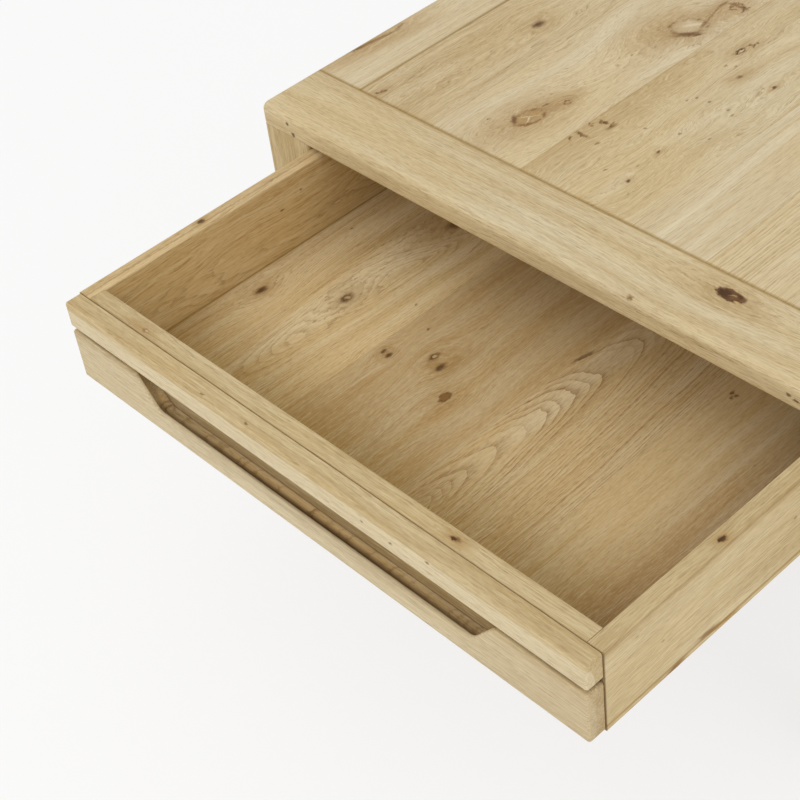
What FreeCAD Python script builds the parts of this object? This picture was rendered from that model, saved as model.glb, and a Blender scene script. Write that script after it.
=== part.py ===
"""Oak coffee table with a drawer at each short end, as separate boards, joints and fasteners.

The frame stands on the floor with its origin at the middle of the footprint.
X runs across the table, Y along it from the front drawer to the rear one, Z up.
Every piece is described once, for the front left quarter, and flipped to its other places.
"""
import FreeCAD, Part
import math
import os
import re
import Sketcher

# Driving dimensions in millimetres
DIMENSIONS = {
    # Overall
    "table_width": 800.0,
    "table_length": 1200.0,
    "table_height": 450.0,
    # Framed top: two end boards across, two edge boards along, staves between them
    "top_thickness": 25.0,
    "end_board_width": 80.0,
    "edge_board_width": 68.0,
    "top_edge_round": 8.0,
    "top_under_round": 4.0,
    "top_corner_round": 10.0,
    "seam_bevel": 0.8,
    "tongue_thickness": 8.0,
    "tongue_length": 12.0,
    "groove_end_gap": 1.0,
    "groove_stop": 25.0,
    # Legs and floor glides
    "leg_width": 68.0,
    "leg_inset": 2.0,
    "leg_edge_round": 3.0,
    "foot_bevel": 2.0,
    "glide_diameter": 44.0,
    "glide_height": 4.0,
    "glide_edge_bevel": 1.0,
    "glide_pin_diameter": 5.0,
    "glide_pin_length": 14.0,
    # Long aprons, tenoned into the legs
    "apron_height": 120.0,
    "apron_thickness": 22.0,
    "apron_setback": 6.0,
    "apron_edge_round": 1.5,
    "tenon_thickness": 10.0,
    "tenon_length": 30.0,
    "tenon_shoulder": 12.0,
    "mortise_end_gap": 1.0,
    # Rail under each drawer mouth
    "drawer_rail_height": 22.0,
    "drawer_rail_setback": 6.0,
    "rail_tenon_thickness": 20.0,
    "rail_tenon_length": 25.0,
    "rail_tenon_shoulder": 5.0,
    # Divider across the middle
    "divider_thickness": 22.0,
    "divider_tenon_length": 12.0,
    # Wooden runners, guides and closing stops
    "runner_height": 20.0,
    "runner_lip": 5.0,
    "runner_tenon_length": 8.0,
    "runner_tenon_shoulder": 5.0,
    "guide_height": 30.0,
    "stop_length": 30.0,
    "stop_height": 25.0,
    "stop_clearance": 0.3,
    # Drawer box
    "drawer_side_clearance": 2.0,
    "drawer_top_gap": 4.0,
    "drawer_side_height": 93.0,
    "drawer_side_thickness": 17.0,
    "drawer_box_depth": 450.0,
    "box_front_thickness": 18.4,
    "drawer_back_thickness": 16.0,
    "bottom_thickness": 6.0,
    "bottom_raise": 0.5,
    "bottom_rebate": 8.0,
    "bottom_clearance": 0.3,
    "drawer_edge_round": 1.2,
    # Drawer front: a strip over a lower board with a finger grip
    "front_thickness": 18.6,
    "front_height": 92.0,
    "front_strip_height": 29.0,
    "front_gap": 5.0,
    "front_end_relief": 1.0,
    "front_edge_round": 2.8,
    "front_back_round": 1.4,
    "grip_top_width": 458.0,
    "grip_bottom_width": 406.0,
    "grip_depth": 32.0,
    "grip_corner_round": 11.0,
    "grip_corner_share": 0.45,
    "grip_cove_radius": 10.0,
    "grip_cove_inset": 5.5,
    "grip_cove_lift": 2.0,
    "cut_overrun": 2.0,
    # Pull-out catch under each drawer
    "catch_width": 120.0,
    "catch_depth": 20.0,
    "catch_height": 12.0,
    # How far the front drawer stands open
    "front_drawer_open": 311.0,
    # Dowels in the drawer corners
    "dowel_diameter": 8.0,
    "dowel_length": 36.0,
    "dowel_side_depth": 12.0,
    "dowel_end_inset": 27.0,
    # Screws that hold the fronts and the catch
    "front_screw_length": 30.0,
    "front_screw_diameter": 4.0,
    "front_screw_head": 7.5,
    "front_screw_inset": 48.0,
    "front_screw_spread": 95.0,
    "front_screw_height": 13.0,
    "catch_screw_inset": 25.0,
    # Screws that hold the drawer bottoms
    "bottom_screw_length": 16.0,
    "bottom_screw_diameter": 3.0,
    "bottom_screw_head": 5.6,
    "bottom_screw_inset": 60.0,
    # Screws that hold the guides on the runners
    "guide_screw_length": 42.0,
    "guide_screw_diameter": 4.0,
    "guide_screw_head": 7.5,
    "guide_screw_inset": 50.0,
    # Angle brackets between aprons and top, and their screws
    "bracket_leg": 30.0,
    "bracket_width": 20.0,
    "bracket_thickness": 2.0,
    "bracket_inner_place": 150.0,
    "bracket_outer_place": 420.0,
    "bracket_hole_inset": 18.0,
    "bracket_screw_length": 15.0,
    "bracket_screw_diameter": 3.5,
    "bracket_screw_head": 6.8,
    "bracket_screw_head_height": 1.8,
}

# Edges of the staves as shares of the panel's width, from left to right
STAVE_EDGE_SHARES = (0.0, 0.159, 0.34, 0.553, 0.68, 0.84, 1.0)

# Places worked out from the driving dimensions
DERIVED = {
    "half_width": "table_width / 2",
    "half_length": "table_length / 2",
    "top_underside": "table_height - top_thickness",
    "panel_half_width": "half_width - edge_board_width",
    "panel_half_length": "half_length - end_board_width",
    "tongue_low": "top_underside + (top_thickness - tongue_thickness) / 2",
    "tongue_high": "tongue_low + tongue_thickness",
    "groove_depth": "tongue_length + groove_end_gap",
    "leg_outer_x": "half_width - leg_inset",
    "leg_inner_x": "leg_outer_x - leg_width",
    "leg_outer_y": "half_length - leg_inset",
    "leg_inner_y": "leg_outer_y - leg_width",
    "apron_outer": "leg_outer_x - apron_setback",
    "apron_inner": "apron_outer - apron_thickness",
    "apron_bottom": "top_underside - apron_height",
    "tenon_outer": "apron_outer - (apron_thickness - tenon_thickness) / 2",
    "tenon_inner": "tenon_outer - tenon_thickness",
    "rail_outer_y": "leg_outer_y - drawer_rail_setback",
    "drawer_top": "top_underside - drawer_top_gap",
    "drawer_floor": "drawer_top - drawer_side_height",
    "rail_bottom": "drawer_floor - drawer_rail_height",
    "rail_tenon_outer_y": "(rail_outer_y + leg_inner_y + rail_tenon_thickness) / 2",
    "divider_face": "divider_thickness / 2",
    "runner_inner": "drawer_half_width - drawer_side_thickness - runner_lip",
    "drawer_half_width": "leg_inner_x - drawer_side_clearance",
    "side_inner": "drawer_half_width - drawer_side_thickness",
    "front_face_y": "leg_outer_y",
    "box_face_y": "front_face_y - front_thickness",
    "box_front_inner_y": "box_face_y - box_front_thickness",
    "box_end_y": "box_face_y - drawer_box_depth",
    "back_inner_y": "box_end_y + drawer_back_thickness",
    "bottom_top": "drawer_floor + bottom_raise + bottom_thickness",
    "front_half_width": "drawer_half_width - front_end_relief",
    "strip_bottom": "drawer_top - front_strip_height",
    "lower_front_top": "strip_bottom - front_gap",
    "lower_front_bottom": "drawer_top - front_height",
    "grip_board_height": "lower_front_top - lower_front_bottom",
    "grip_floor_height": "grip_board_height - grip_depth",
    "grip_side_run": "(grip_top_width - grip_bottom_width) / 2",
    "grip_side_length": "sqrt(grip_side_run ^ 2 + grip_depth ^ 2)",
    "grip_side_room": "grip_corner_share * grip_side_length",
    "grip_corner": "min(grip_corner_round; grip_side_room * grip_depth / (grip_side_length - grip_side_run))",
}

LEFT, RIGHT = 1, -1
FRONT, REAR = 1, -1
SIDE_NAMES = {LEFT: "left", RIGHT: "right"}
END_NAMES = {FRONT: "front", REAR: "rear"}
AXES = "xyz"
EDGE_TOLERANCE = 1e-4
NODES = []

doc = FreeCAD.newDocument("CoffeeTable")
sheet = doc.addObject("Spreadsheet::Sheet", "Dimensions")


def fill_sheet():
    """Write the driving dimensions as plain numbers and the derived places as formulas."""
    rows = [(name, str(number)) for name, number in DIMENSIONS.items()]
    rows += [(name, "=" + formula) for name, formula in DERIVED.items()]
    for row, (name, content) in enumerate(rows, start=1):
        sheet.set(f"A{row}", name)
        sheet.setAlias(f"B{row}", name)
    doc.recompute()
    for row, (name, content) in enumerate(rows, start=1):
        sheet.set(f"B{row}", content)
    doc.recompute()


def formula(text):
    """Turn a formula in dimension names into one that reads the sheet's cells."""
    names = set(DIMENSIONS) | set(DERIVED)
    return re.sub(
        r"[a-z_]+", lambda word: f"Dimensions.{word[0]}" if word[0] in names else word[0], text
    )


def size(name):
    """The value of one of the sheet's cells."""
    return float(sheet.get(name))


def bind(item, prop, text):
    """Tie one property of an object to a formula."""
    item.setExpression(prop, formula(text))


def bind_base(item, point):
    """Tie an object's place to three formulas."""
    for axis, text in zip(AXES, point):
        bind(item, f"Placement.Base.{axis}", text)


def minus(text):
    """The formula with its sign changed."""
    return f"-({text})"


def span(low, high):
    """The formula of the distance between two places."""
    return f"({high}) - ({low})"


def flipped_box(low, high, flip):
    """Move a box of the front left quarter to another quarter of the table."""
    low, high = list(low), list(high)
    for index, sign in enumerate(flip):
        if sign < 0:
            low[index], high[index] = minus(high[index]), minus(low[index])
    return low, high


def flipped_point(point, flip):
    """Move a point of the front left quarter to another quarter of the table."""
    turned = [minus(text) if sign < 0 else text for text, sign in zip(point, flip)]
    return turned + [point[2]]


def flipped_direction(direction, flip):
    """Turn a direction of the front left quarter to match another quarter."""
    x, y, z = direction
    return FreeCAD.Vector(x * flip[0], y * flip[1], z)


def turn_to(direction):
    """The rotation that lays an upright cylinder along a direction."""
    return FreeCAD.Rotation(FreeCAD.Vector(0, 0, 1), direction)


def origin_plane(body, role):
    """One of a body's own origin planes."""
    return next(item for item in body.Origin.OriginFeatures if item.Role == role)


def sketch_on(body, role, name):
    """A new sketch on one of a body's origin planes."""
    sketch = body.newObject("Sketcher::SketchObject", name)
    sketch.AttachmentSupport = (origin_plane(body, role), [""])
    sketch.MapMode = "FlatFace"
    return sketch


def draw_loop(sketch, points):
    """Draw a closed loop of straight lines through starting points, still without sizes."""
    corners = [FreeCAD.Vector(x, y, 0) for x, y in points]
    count = len(corners)
    for index in range(count):
        sketch.addGeometry(Part.LineSegment(corners[index], corners[(index + 1) % count]))
    for index in range(count):
        sketch.addConstraint(Sketcher.Constraint("Coincident", index, 2, (index + 1) % count, 1))


def set_distance(sketch, kind, line, point, text):
    """Give a sketch point its distance from the sketch's origin."""
    place = sketch.getPoint(line, point)
    start = place.x if kind == "DistanceX" else place.y
    row = sketch.addConstraint(Sketcher.Constraint(kind, -1, 1, line, point, start))
    sketch.setExpression(f"Constraints[{row}]", formula(text))


def set_radius(sketch, arc, text):
    """Give a sketch arc its radius."""
    start = sketch.Geometry[arc].Radius
    row = sketch.addConstraint(Sketcher.Constraint("Radius", arc, start))
    sketch.setExpression(f"Constraints[{row}]", formula(text))


def draw_rectangle(sketch, across, along):
    """Draw a rectangle with one corner at the sketch's origin."""
    draw_loop(sketch, ((0, 0), (1, 0), (1, 1), (0, 1)))
    for line, kind in enumerate(("Horizontal", "Vertical", "Horizontal", "Vertical")):
        sketch.addConstraint(Sketcher.Constraint(kind, line))
    sketch.addConstraint(Sketcher.Constraint("Coincident", 0, 1, -1, 1))
    set_distance(sketch, "DistanceX", 1, 2, across)
    set_distance(sketch, "DistanceY", 1, 2, along)


class Board:
    """One straight board: a padded rectangle that is then rounded, tenoned, cut and bored.

    Every place is a formula in the table's frame, written for the front left quarter.
    """

    def __init__(self, label, low, high, flip=(LEFT, FRONT)):
        self.label = label
        self.flip = flip
        self.low, high = flipped_box(low, high, flip)
        self.size = [span(*pair) for pair in zip(self.low, high)]
        self.count = 0
        self.body = doc.addObject("PartDesign::Body", label)
        outline = sketch_on(self.body, "XY_Plane", f"{label}_outline")
        draw_rectangle(outline, self.size[0], self.size[1])
        pad = self.body.newObject("PartDesign::Pad", f"{label}_pad")
        pad.Profile = outline
        bind(pad, "Length", self.size[2])
        bind_base(self.body, self.low)
        doc.recompute()
        box = pad.Shape.BoundBox
        self.extent = (box.XLength, box.YLength, box.ZLength)
        NODES.append(self.body)

    def feature(self, kind, name):
        """A new feature at the end of the body's history."""
        self.count += 1
        return self.body.newObject(f"PartDesign::{kind}", f"{self.label}_{name}_{self.count}")

    def box(self, kind, name, low, high):
        """An added or cut block between two places."""
        low, high = flipped_box(low, high, self.flip)
        block = self.feature(kind, name)
        for prop, first, last in zip(("Length", "Width", "Height"), low, high):
            bind(block, prop, span(first, last))
        bind_base(block, [span(*pair) for pair in zip(self.low, low)])

    def add(self, low, high):
        """Add a tongue or tenon."""
        self.box("AdditiveBox", "tenon", low, high)

    def cut(self, low, high):
        """Cut a groove, mortise or rebate."""
        self.box("SubtractiveBox", "cut", low, high)

    def aim(self, cutter, start, direction, flip):
        """Place a round cutter at a point, along a direction."""
        cutter.Placement.Rotation = turn_to(flipped_direction(direction, flip))
        point = flipped_point(start, flip)
        bind_base(cutter, [span(*pair) for pair in zip(self.low, point)])

    def bore(self, start, direction, diameter, depth, flip):
        """Drill a round hole from a point along a direction."""
        hole = self.feature("SubtractiveCylinder", "bore")
        bind(hole, "Radius", f"{diameter} / 2")
        bind(hole, "Height", depth)
        self.aim(hole, start, direction, flip)

    def countersink(self, start, direction, head, diameter, flip):
        """Cut the cone that a flat screw head sits in."""
        cone = self.feature("SubtractiveCone", "sink")
        bind(cone, "Radius1", f"{head} / 2")
        bind(cone, "Radius2", f"{diameter} / 2")
        bind(cone, "Height", f"({head} - {diameter}) / 2")
        self.aim(cone, start, direction, flip)

    def edges(self, picks):
        """Names of the pad's straight edges that lie on pairs of its sides, such as x=-1, z=1."""
        doc.recompute()
        signs = dict(zip("xy", self.flip))
        chosen = []
        for pick in picks:
            wanted = {axis: side * signs.get(axis, 1) for axis, side in pick.items()}
            for number, edge in enumerate(self.body.Tip.Shape.Edges, start=1):
                if all(self.lies_on(edge, axis, side) for axis, side in wanted.items()):
                    chosen.append(f"Edge{number}")
        return sorted(set(chosen))

    def lies_on(self, edge, axis, side):
        """Does the whole edge lie on the low (-1) or high (1) side of the pad?"""
        index = AXES.index(axis)
        place = self.extent[index] if side > 0 else 0
        return all(abs(v.Point[index] - place) < EDGE_TOLERANCE for v in edge.Vertexes)

    def dress(self, kind, prop, text, picks):
        """Round or bevel picked edges."""
        names = self.edges(picks)
        base = self.body.Tip
        work = self.feature(kind, kind.lower())
        work.Base = (base, names)
        bind(work, prop, text)
        doc.recompute()

    def round(self, radius, *picks):
        """Round picked edges."""
        self.dress("Fillet", "Radius", radius, picks)

    def bevel(self, width, *picks):
        """Bevel picked edges."""
        self.dress("Chamfer", "Size", width, picks)


class GripBoard(Board):
    """The lower board of a drawer front: an outline with a finger notch, coved behind the notch.

    Its own origin is the middle of its lower edge, on its back face.
    """

    def __init__(self, label, base, flip):
        self.label = label
        self.flip = flip
        self.low = flipped_point(base, flip)
        self.count = 0
        self.body = doc.addObject("PartDesign::Body", label)
        bind_base(self.body, self.low)
        self.pad_outline()
        self.round_edges()
        self.cut_cove()
        NODES.append(self.body)

    def pad_outline(self):
        """Pad the notched outline from the back face to the front face."""
        outline = sketch_on(self.body, "XZ_Plane", f"{self.label}_outline")
        right = [
            ("front_half_width", "0"),
            ("front_half_width", "grip_board_height"),
            ("grip_top_width / 2", "grip_board_height"),
            ("grip_bottom_width / 2", "grip_floor_height"),
        ]
        start = [(size("front_half_width"), 0)]
        start.append((size("front_half_width"), size("grip_board_height")))
        start.append((size("grip_top_width") / 2, size("grip_board_height")))
        start.append((size("grip_bottom_width") / 2, size("grip_floor_height")))
        draw_loop(outline, start + [(-x, y) for x, y in reversed(start)])
        count = len(right)
        for index, (across, height) in enumerate(right):
            set_distance(outline, "DistanceX", index, 1, across)
            if height == "0":
                outline.addConstraint(Sketcher.Constraint("PointOnObject", index, 1, -1))
            else:
                set_distance(outline, "DistanceY", index, 1, height)
            mirrored = 2 * count - 1 - index
            outline.addConstraint(Sketcher.Constraint("Symmetric", index, 1, mirrored, 1, -2))
        pad = self.body.newObject("PartDesign::Pad", f"{self.label}_pad")
        pad.Profile = outline
        pad.Reversed = self.flip[1] == REAR
        bind(pad, "Length", "front_thickness")
        doc.recompute()

    def pick(self, wanted):
        """Names of the edges whose every end passes a test."""
        return [
            f"Edge{number}"
            for number, edge in enumerate(self.body.Tip.Shape.Edges, start=1)
            if wanted([vertex.Point for vertex in edge.Vertexes])
        ]

    def round_picked(self, radius, names):
        """Round the named edges."""
        base = self.body.Tip
        work = self.feature("Fillet", "fillet")
        work.Base = (base, names)
        bind(work, "Radius", radius)
        doc.recompute()

    def round_edges(self):
        """Round the notch's corners, then the front's edges and outer corners, and break the back's."""
        limit = size("front_half_width") - EDGE_TOLERANCE

        def crosses(points):
            return abs(points[0].y - points[-1].y) > EDGE_TOLERANCE

        def notch_corner(points):
            return crosses(points) and all(abs(point.x) < limit for point in points)

        def outer_corner(points):
            return crosses(points) and all(abs(point.x) > limit for point in points)

        def on_back(points):
            return all(abs(point.y) < EDGE_TOLERANCE for point in points)

        def on_front(points):
            return not crosses(points) and not on_back(points)

        self.round_picked("grip_corner", self.pick(notch_corner))
        names = self.pick(lambda points: on_front(points) or outer_corner(points))
        self.round_picked("front_edge_round", names)
        self.round_picked("front_back_round", self.pick(on_back))

    def cut_cove(self):
        """Cut the round cove behind the notch's lip, as a sweep along half of it, mirrored."""
        path = sketch_on(self.body, "XZ_Plane", f"{self.label}_cove_path")
        self.draw_path(path)
        profile = sketch_on(self.body, "YZ_Plane", f"{self.label}_cove_profile")
        self.draw_profile(profile)
        cove = self.feature("SubtractivePipe", "cove")
        cove.Profile = profile
        cove.Spine = (path, ["Edge1", "Edge2", "Edge3"])
        doc.recompute()
        mirrored = self.feature("Mirrored", "cove")
        mirrored.Originals = [cove]
        mirrored.MirrorPlane = (origin_plane(self.body, "YZ_Plane"), [""])
        self.body.Tip = mirrored
        doc.recompute()

    def draw_path(self, sketch):
        """From the middle of the notch's floor, round its corner and out over the board's top."""
        floor, top = size("grip_floor_height"), size("grip_board_height")
        foot, brow = size("grip_bottom_width") / 2, size("grip_top_width") / 2
        bend, reach = size("grip_corner"), top + size("grip_cove_radius")
        turn = math.atan2(top - floor, brow - foot)
        slope = (brow - foot) / (top - floor)
        start_x = foot - bend * math.tan(turn / 2)
        centre = FreeCAD.Vector(start_x, floor + bend, 0)
        circle = Part.Circle(centre, FreeCAD.Vector(0, 0, 1), bend)
        arc = Part.ArcOfCircle(circle, -math.pi / 2, turn - math.pi / 2)
        end = FreeCAD.Vector(foot + slope * (reach - floor), reach, 0)
        line = Part.LineSegment(FreeCAD.Vector(0, floor, 0), FreeCAD.Vector(start_x, floor, 0))
        sketch.addGeometry(line)
        sketch.addGeometry(arc)
        sketch.addGeometry(Part.LineSegment(arc.EndPoint, end))
        side = Part.LineSegment(FreeCAD.Vector(foot, floor, 0), FreeCAD.Vector(brow, top, 0))
        sketch.addGeometry(side, True)
        sketch.addConstraint(Sketcher.Constraint("PointOnObject", 0, 1, -2))
        sketch.addConstraint(Sketcher.Constraint("Horizontal", 0))
        set_distance(sketch, "DistanceY", 0, 1, "grip_floor_height")
        sketch.addConstraint(Sketcher.Constraint("Tangent", 0, 2, 1, 1))
        sketch.addConstraint(Sketcher.Constraint("Tangent", 1, 2, 2, 1))
        set_radius(sketch, 1, "grip_corner")
        set_distance(sketch, "DistanceX", 3, 1, "grip_bottom_width / 2")
        set_distance(sketch, "DistanceY", 3, 1, "grip_floor_height")
        set_distance(sketch, "DistanceX", 3, 2, "grip_top_width / 2")
        set_distance(sketch, "DistanceY", 3, 2, "grip_board_height")
        sketch.addConstraint(Sketcher.Constraint("Tangent", 2, 3))
        set_distance(sketch, "DistanceY", 2, 2, "grip_board_height + grip_cove_radius")

    def draw_profile(self, sketch):
        """A disc's lower part into the board, cut off at its middle and past the back face."""
        way = -self.flip[1]
        floor, radius, over = size("grip_floor_height"), size("grip_cove_radius"), size("cut_overrun")
        inset, lift = size("grip_cove_inset"), size("grip_cove_lift")
        reach = math.sqrt(radius**2 - inset**2)
        points = [
            FreeCAD.Vector(way * along, floor + lift + up, 0)
            for along, up in ((0, -reach), (-over, -reach), (-over, 0), (inset + radius, 0))
        ]
        for first, last in zip(points, points[1:]):
            sketch.addGeometry(Part.LineSegment(first, last))
        centre = FreeCAD.Vector(way * inset, floor + lift, 0)
        circle = Part.Circle(centre, FreeCAD.Vector(0, 0, 1), radius)
        slant = math.atan2(reach, inset)
        if way > 0:
            arc = Part.ArcOfCircle(circle, math.pi + slant, 2 * math.pi)
            first, last = 1, 2
        else:
            arc = Part.ArcOfCircle(circle, math.pi, 2 * math.pi - slant)
            first, last = 2, 1
        sketch.addGeometry(arc)
        for line in range(2):
            sketch.addConstraint(Sketcher.Constraint("Coincident", line, 2, line + 1, 1))
        sketch.addConstraint(Sketcher.Constraint("Coincident", 0, 1, 3, first))
        sketch.addConstraint(Sketcher.Constraint("Coincident", 2, 2, 3, last))
        for line, kind in enumerate(("Horizontal", "Vertical", "Horizontal")):
            sketch.addConstraint(Sketcher.Constraint(kind, line))
        sketch.addConstraint(Sketcher.Constraint("PointOnObject", 3, first, -2))
        sketch.addConstraint(Sketcher.Constraint("Horizontal", 3, 3, 3, last))
        set_distance(sketch, "DistanceY", 3, 3, "grip_floor_height + grip_cove_lift")
        set_radius(sketch, 3, "grip_cove_radius")
        for line, point, ahead, text in ((3, 3, 1, "grip_cove_inset"), (1, 2, -1, "cut_overrun")):
            ends = ((line, point, -1, 1), (-1, 1, line, point))[ahead == way]
            row = sketch.addConstraint(Sketcher.Constraint("DistanceX", *ends, size(text)))
            sketch.setExpression(f"Constraints[{row}]", formula(text))


def all_edges():
    """Picks for the twelve edges of a board."""
    pairs = (("x", "y"), ("x", "z"), ("y", "z"))
    return [{a: i, b: j} for a, b in pairs for i in (-1, 1) for j in (-1, 1)]


def long_edges(axis):
    """Picks for the four edges along one axis of a board."""
    first, second = (name for name in AXES if name != axis)
    return [{first: i, second: j} for i in (-1, 1) for j in (-1, 1)]


# Solids for fasteners, each tied to the sheet like the boards


def cylinder(name, start, direction, diameter, length):
    """A plain round pin from a point along a direction."""
    pin = doc.addObject("Part::Cylinder", name)
    bind(pin, "Radius", f"({diameter}) / 2")
    bind(pin, "Height", length)
    pin.Placement.Rotation = turn_to(direction)
    bind_base(pin, start)
    return pin


def flat_head_screw(name, start, direction, kind):
    """A countersunk screw whose head is flush at its starting point."""
    shank = cylinder(f"{name}_shank", start, direction, f"{kind}_diameter", f"{kind}_length")
    head = doc.addObject("Part::Cone", f"{name}_head")
    bind(head, "Radius1", f"{kind}_head / 2")
    bind(head, "Radius2", f"{kind}_diameter / 2")
    bind(head, "Height", f"({kind}_head - {kind}_diameter) / 2")
    head.Placement.Rotation = turn_to(direction)
    bind_base(head, start)
    screw = doc.addObject("Part::MultiFuse", name)
    screw.Shapes = [shank, head]
    return screw


def group(label, members):
    """One node of separate like pieces."""
    node = doc.addObject("Part::Compound", label)
    node.Links = members
    NODES.append(node)


class ScrewSet:
    """Like screws of one node, with the holes that they need in the boards they pass through."""

    def __init__(self, label, kind):
        self.label = label
        self.kind = kind
        self.screws = []

    def drive(self, start, direction, flip, head_board, far_board):
        """Drive one screw through one board into another."""
        name = f"{self.label}_{len(self.screws) + 1}"
        sizes = [f"{self.kind}_{part}" for part in ("diameter", "length", "head")]
        for board in (head_board, far_board):
            board.bore(start, direction, sizes[0], sizes[1], flip)
        head_board.countersink(start, direction, sizes[2], sizes[0], flip)
        way = flipped_direction(direction, flip)
        self.screws.append(flat_head_screw(name, flipped_point(start, flip), way, self.kind))

    def finish(self):
        """Close the set into its node."""
        group(self.label, self.screws)


# Table top


def make_end_board(end):
    """The board across one end of the top, grooved for the tongues of what meets it."""
    board = Board(
        f"top_{END_NAMES[end]}_end_board",
        (minus("half_width"), minus("half_length"), "top_underside"),
        ("half_width", minus("panel_half_length"), "table_height"),
        (LEFT, end),
    )
    board.round("top_corner_round", {"x": -1, "y": -1}, {"x": 1, "y": -1})
    board.round("top_edge_round", {"y": -1, "z": 1})
    board.round("top_under_round", {"y": -1, "z": -1})
    board.bevel("seam_bevel", {"y": 1, "z": 1})
    board.cut(
        ("groove_stop - half_width", "-panel_half_length - groove_depth", "tongue_low"),
        ("half_width - groove_stop", minus("panel_half_length"), "tongue_high"),
    )


def make_edge_board(side):
    """The board along one long edge of the top, tongued into both end boards."""
    board = Board(
        f"top_{SIDE_NAMES[side]}_edge_board",
        (minus("half_width"), minus("panel_half_length"), "top_underside"),
        (minus("panel_half_width"), "panel_half_length", "table_height"),
        (side, FRONT),
    )
    board.round("top_edge_round", {"x": -1, "z": 1})
    board.round("top_under_round", {"x": -1, "z": -1})
    board.bevel("seam_bevel", {"x": 1, "z": 1}, {"y": -1, "z": 1}, {"y": 1, "z": 1})
    board.cut(
        ("-panel_half_width - groove_depth", minus("panel_half_length"), "tongue_low"),
        (minus("panel_half_width"), "panel_half_length", "tongue_high"),
    )
    for low, high in (
        ("-panel_half_length - tongue_length", minus("panel_half_length")),
        ("panel_half_length", "panel_half_length + tongue_length"),
    ):
        board.add(
            ("groove_stop - half_width", low, "tongue_low"),
            ("-panel_half_width - groove_depth", high, "tongue_high"),
        )
    return board


def make_stave(number, left_share, right_share):
    """One stave of the panel, tongued at both ends and, at the panel's sides, along its edge."""
    left = f"(2 * {left_share} - 1) * panel_half_width"
    right = f"(2 * {right_share} - 1) * panel_half_width"
    board = Board(
        f"top_stave_{number}",
        (left, minus("panel_half_length"), "top_underside"),
        (right, "panel_half_length", "table_height"),
    )
    picks = [{"y": -1, "z": 1}, {"y": 1, "z": 1}]
    if left_share == STAVE_EDGE_SHARES[0]:
        picks.append({"x": -1, "z": 1})
    if right_share == STAVE_EDGE_SHARES[-1]:
        picks.append({"x": 1, "z": 1})
    board.bevel("seam_bevel", *picks)
    for low, high in (
        ("-panel_half_length - tongue_length", minus("panel_half_length")),
        ("panel_half_length", "panel_half_length + tongue_length"),
    ):
        board.add((left, low, "tongue_low"), (right, high, "tongue_high"))
    if left_share == STAVE_EDGE_SHARES[0]:
        board.add(
            (f"{left} - tongue_length", minus("panel_half_length"), "tongue_low"),
            (left, "panel_half_length", "tongue_high"),
        )
    if right_share == STAVE_EDGE_SHARES[-1]:
        board.add(
            (right, minus("panel_half_length"), "tongue_low"),
            (f"{right} + tongue_length", "panel_half_length", "tongue_high"),
        )


def make_top():
    """The framed top; returns its two edge boards."""
    for end in (FRONT, REAR):
        make_end_board(end)
    shares = zip(STAVE_EDGE_SHARES, STAVE_EDGE_SHARES[1:])
    for number, (left_share, right_share) in enumerate(shares, start=1):
        make_stave(number, left_share, right_share)
    return {side: make_edge_board(side) for side in (LEFT, RIGHT)}


# Legs, aprons, rails and divider

APRON_TENON_LOW = ("-tenon_outer", "-leg_inner_y - tenon_length", "apron_bottom + tenon_shoulder")
APRON_TENON_HIGH = ("-tenon_inner", "-leg_inner_y", "top_underside - tenon_shoulder")
RAIL_TENON_LOW = (
    "-leg_inner_x - rail_tenon_length",
    "-rail_tenon_outer_y",
    "rail_bottom + rail_tenon_shoulder",
)
RAIL_TENON_HIGH = (
    "-leg_inner_x",
    "rail_tenon_thickness - rail_tenon_outer_y",
    "drawer_floor - rail_tenon_shoulder",
)
DIVIDER_TENON_LOW = (
    "-apron_inner - divider_tenon_length",
    "-tenon_thickness / 2",
    "apron_bottom + tenon_shoulder",
)
DIVIDER_TENON_HIGH = (
    "-apron_inner",
    "tenon_thickness / 2",
    "top_underside - tenon_shoulder",
)
RUNNER_TENON_LOW_X = "-leg_inner_x + runner_tenon_shoulder"
RUNNER_TENON_HIGH_X = "-runner_inner - runner_tenon_shoulder"
RUNNER_TENON_LOW_Z = "drawer_floor - runner_height + runner_tenon_shoulder"
RUNNER_TENON_HIGH_Z = "drawer_floor - runner_tenon_shoulder"
GLIDE_CENTRE = ("-(leg_outer_x + leg_inner_x) / 2", "-(leg_outer_y + leg_inner_y) / 2")


def make_leg(side, end):
    """One leg, mortised for an apron and a drawer rail and bored for its glide's pin."""
    board = Board(
        f"leg_{END_NAMES[end]}_{SIDE_NAMES[side]}",
        (minus("leg_outer_x"), minus("leg_outer_y"), "glide_height"),
        (minus("leg_inner_x"), minus("leg_inner_y"), "top_underside"),
        (side, end),
    )
    board.bevel("foot_bevel", *[{axis: i, "z": -1} for axis in "xy" for i in (-1, 1)])
    board.round("leg_edge_round", *long_edges("z"))
    low_x, low_y, low_z = APRON_TENON_LOW
    board.cut((low_x, f"{low_y} - mortise_end_gap", low_z), APRON_TENON_HIGH)
    low_x, low_y, low_z = RAIL_TENON_LOW
    board.cut((f"{low_x} - mortise_end_gap", low_y, low_z), RAIL_TENON_HIGH)
    start = (*GLIDE_CENTRE, "glide_height")
    board.bore(start, (0, 0, 1), "glide_pin_diameter", "glide_pin_length", (side, end))


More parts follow.
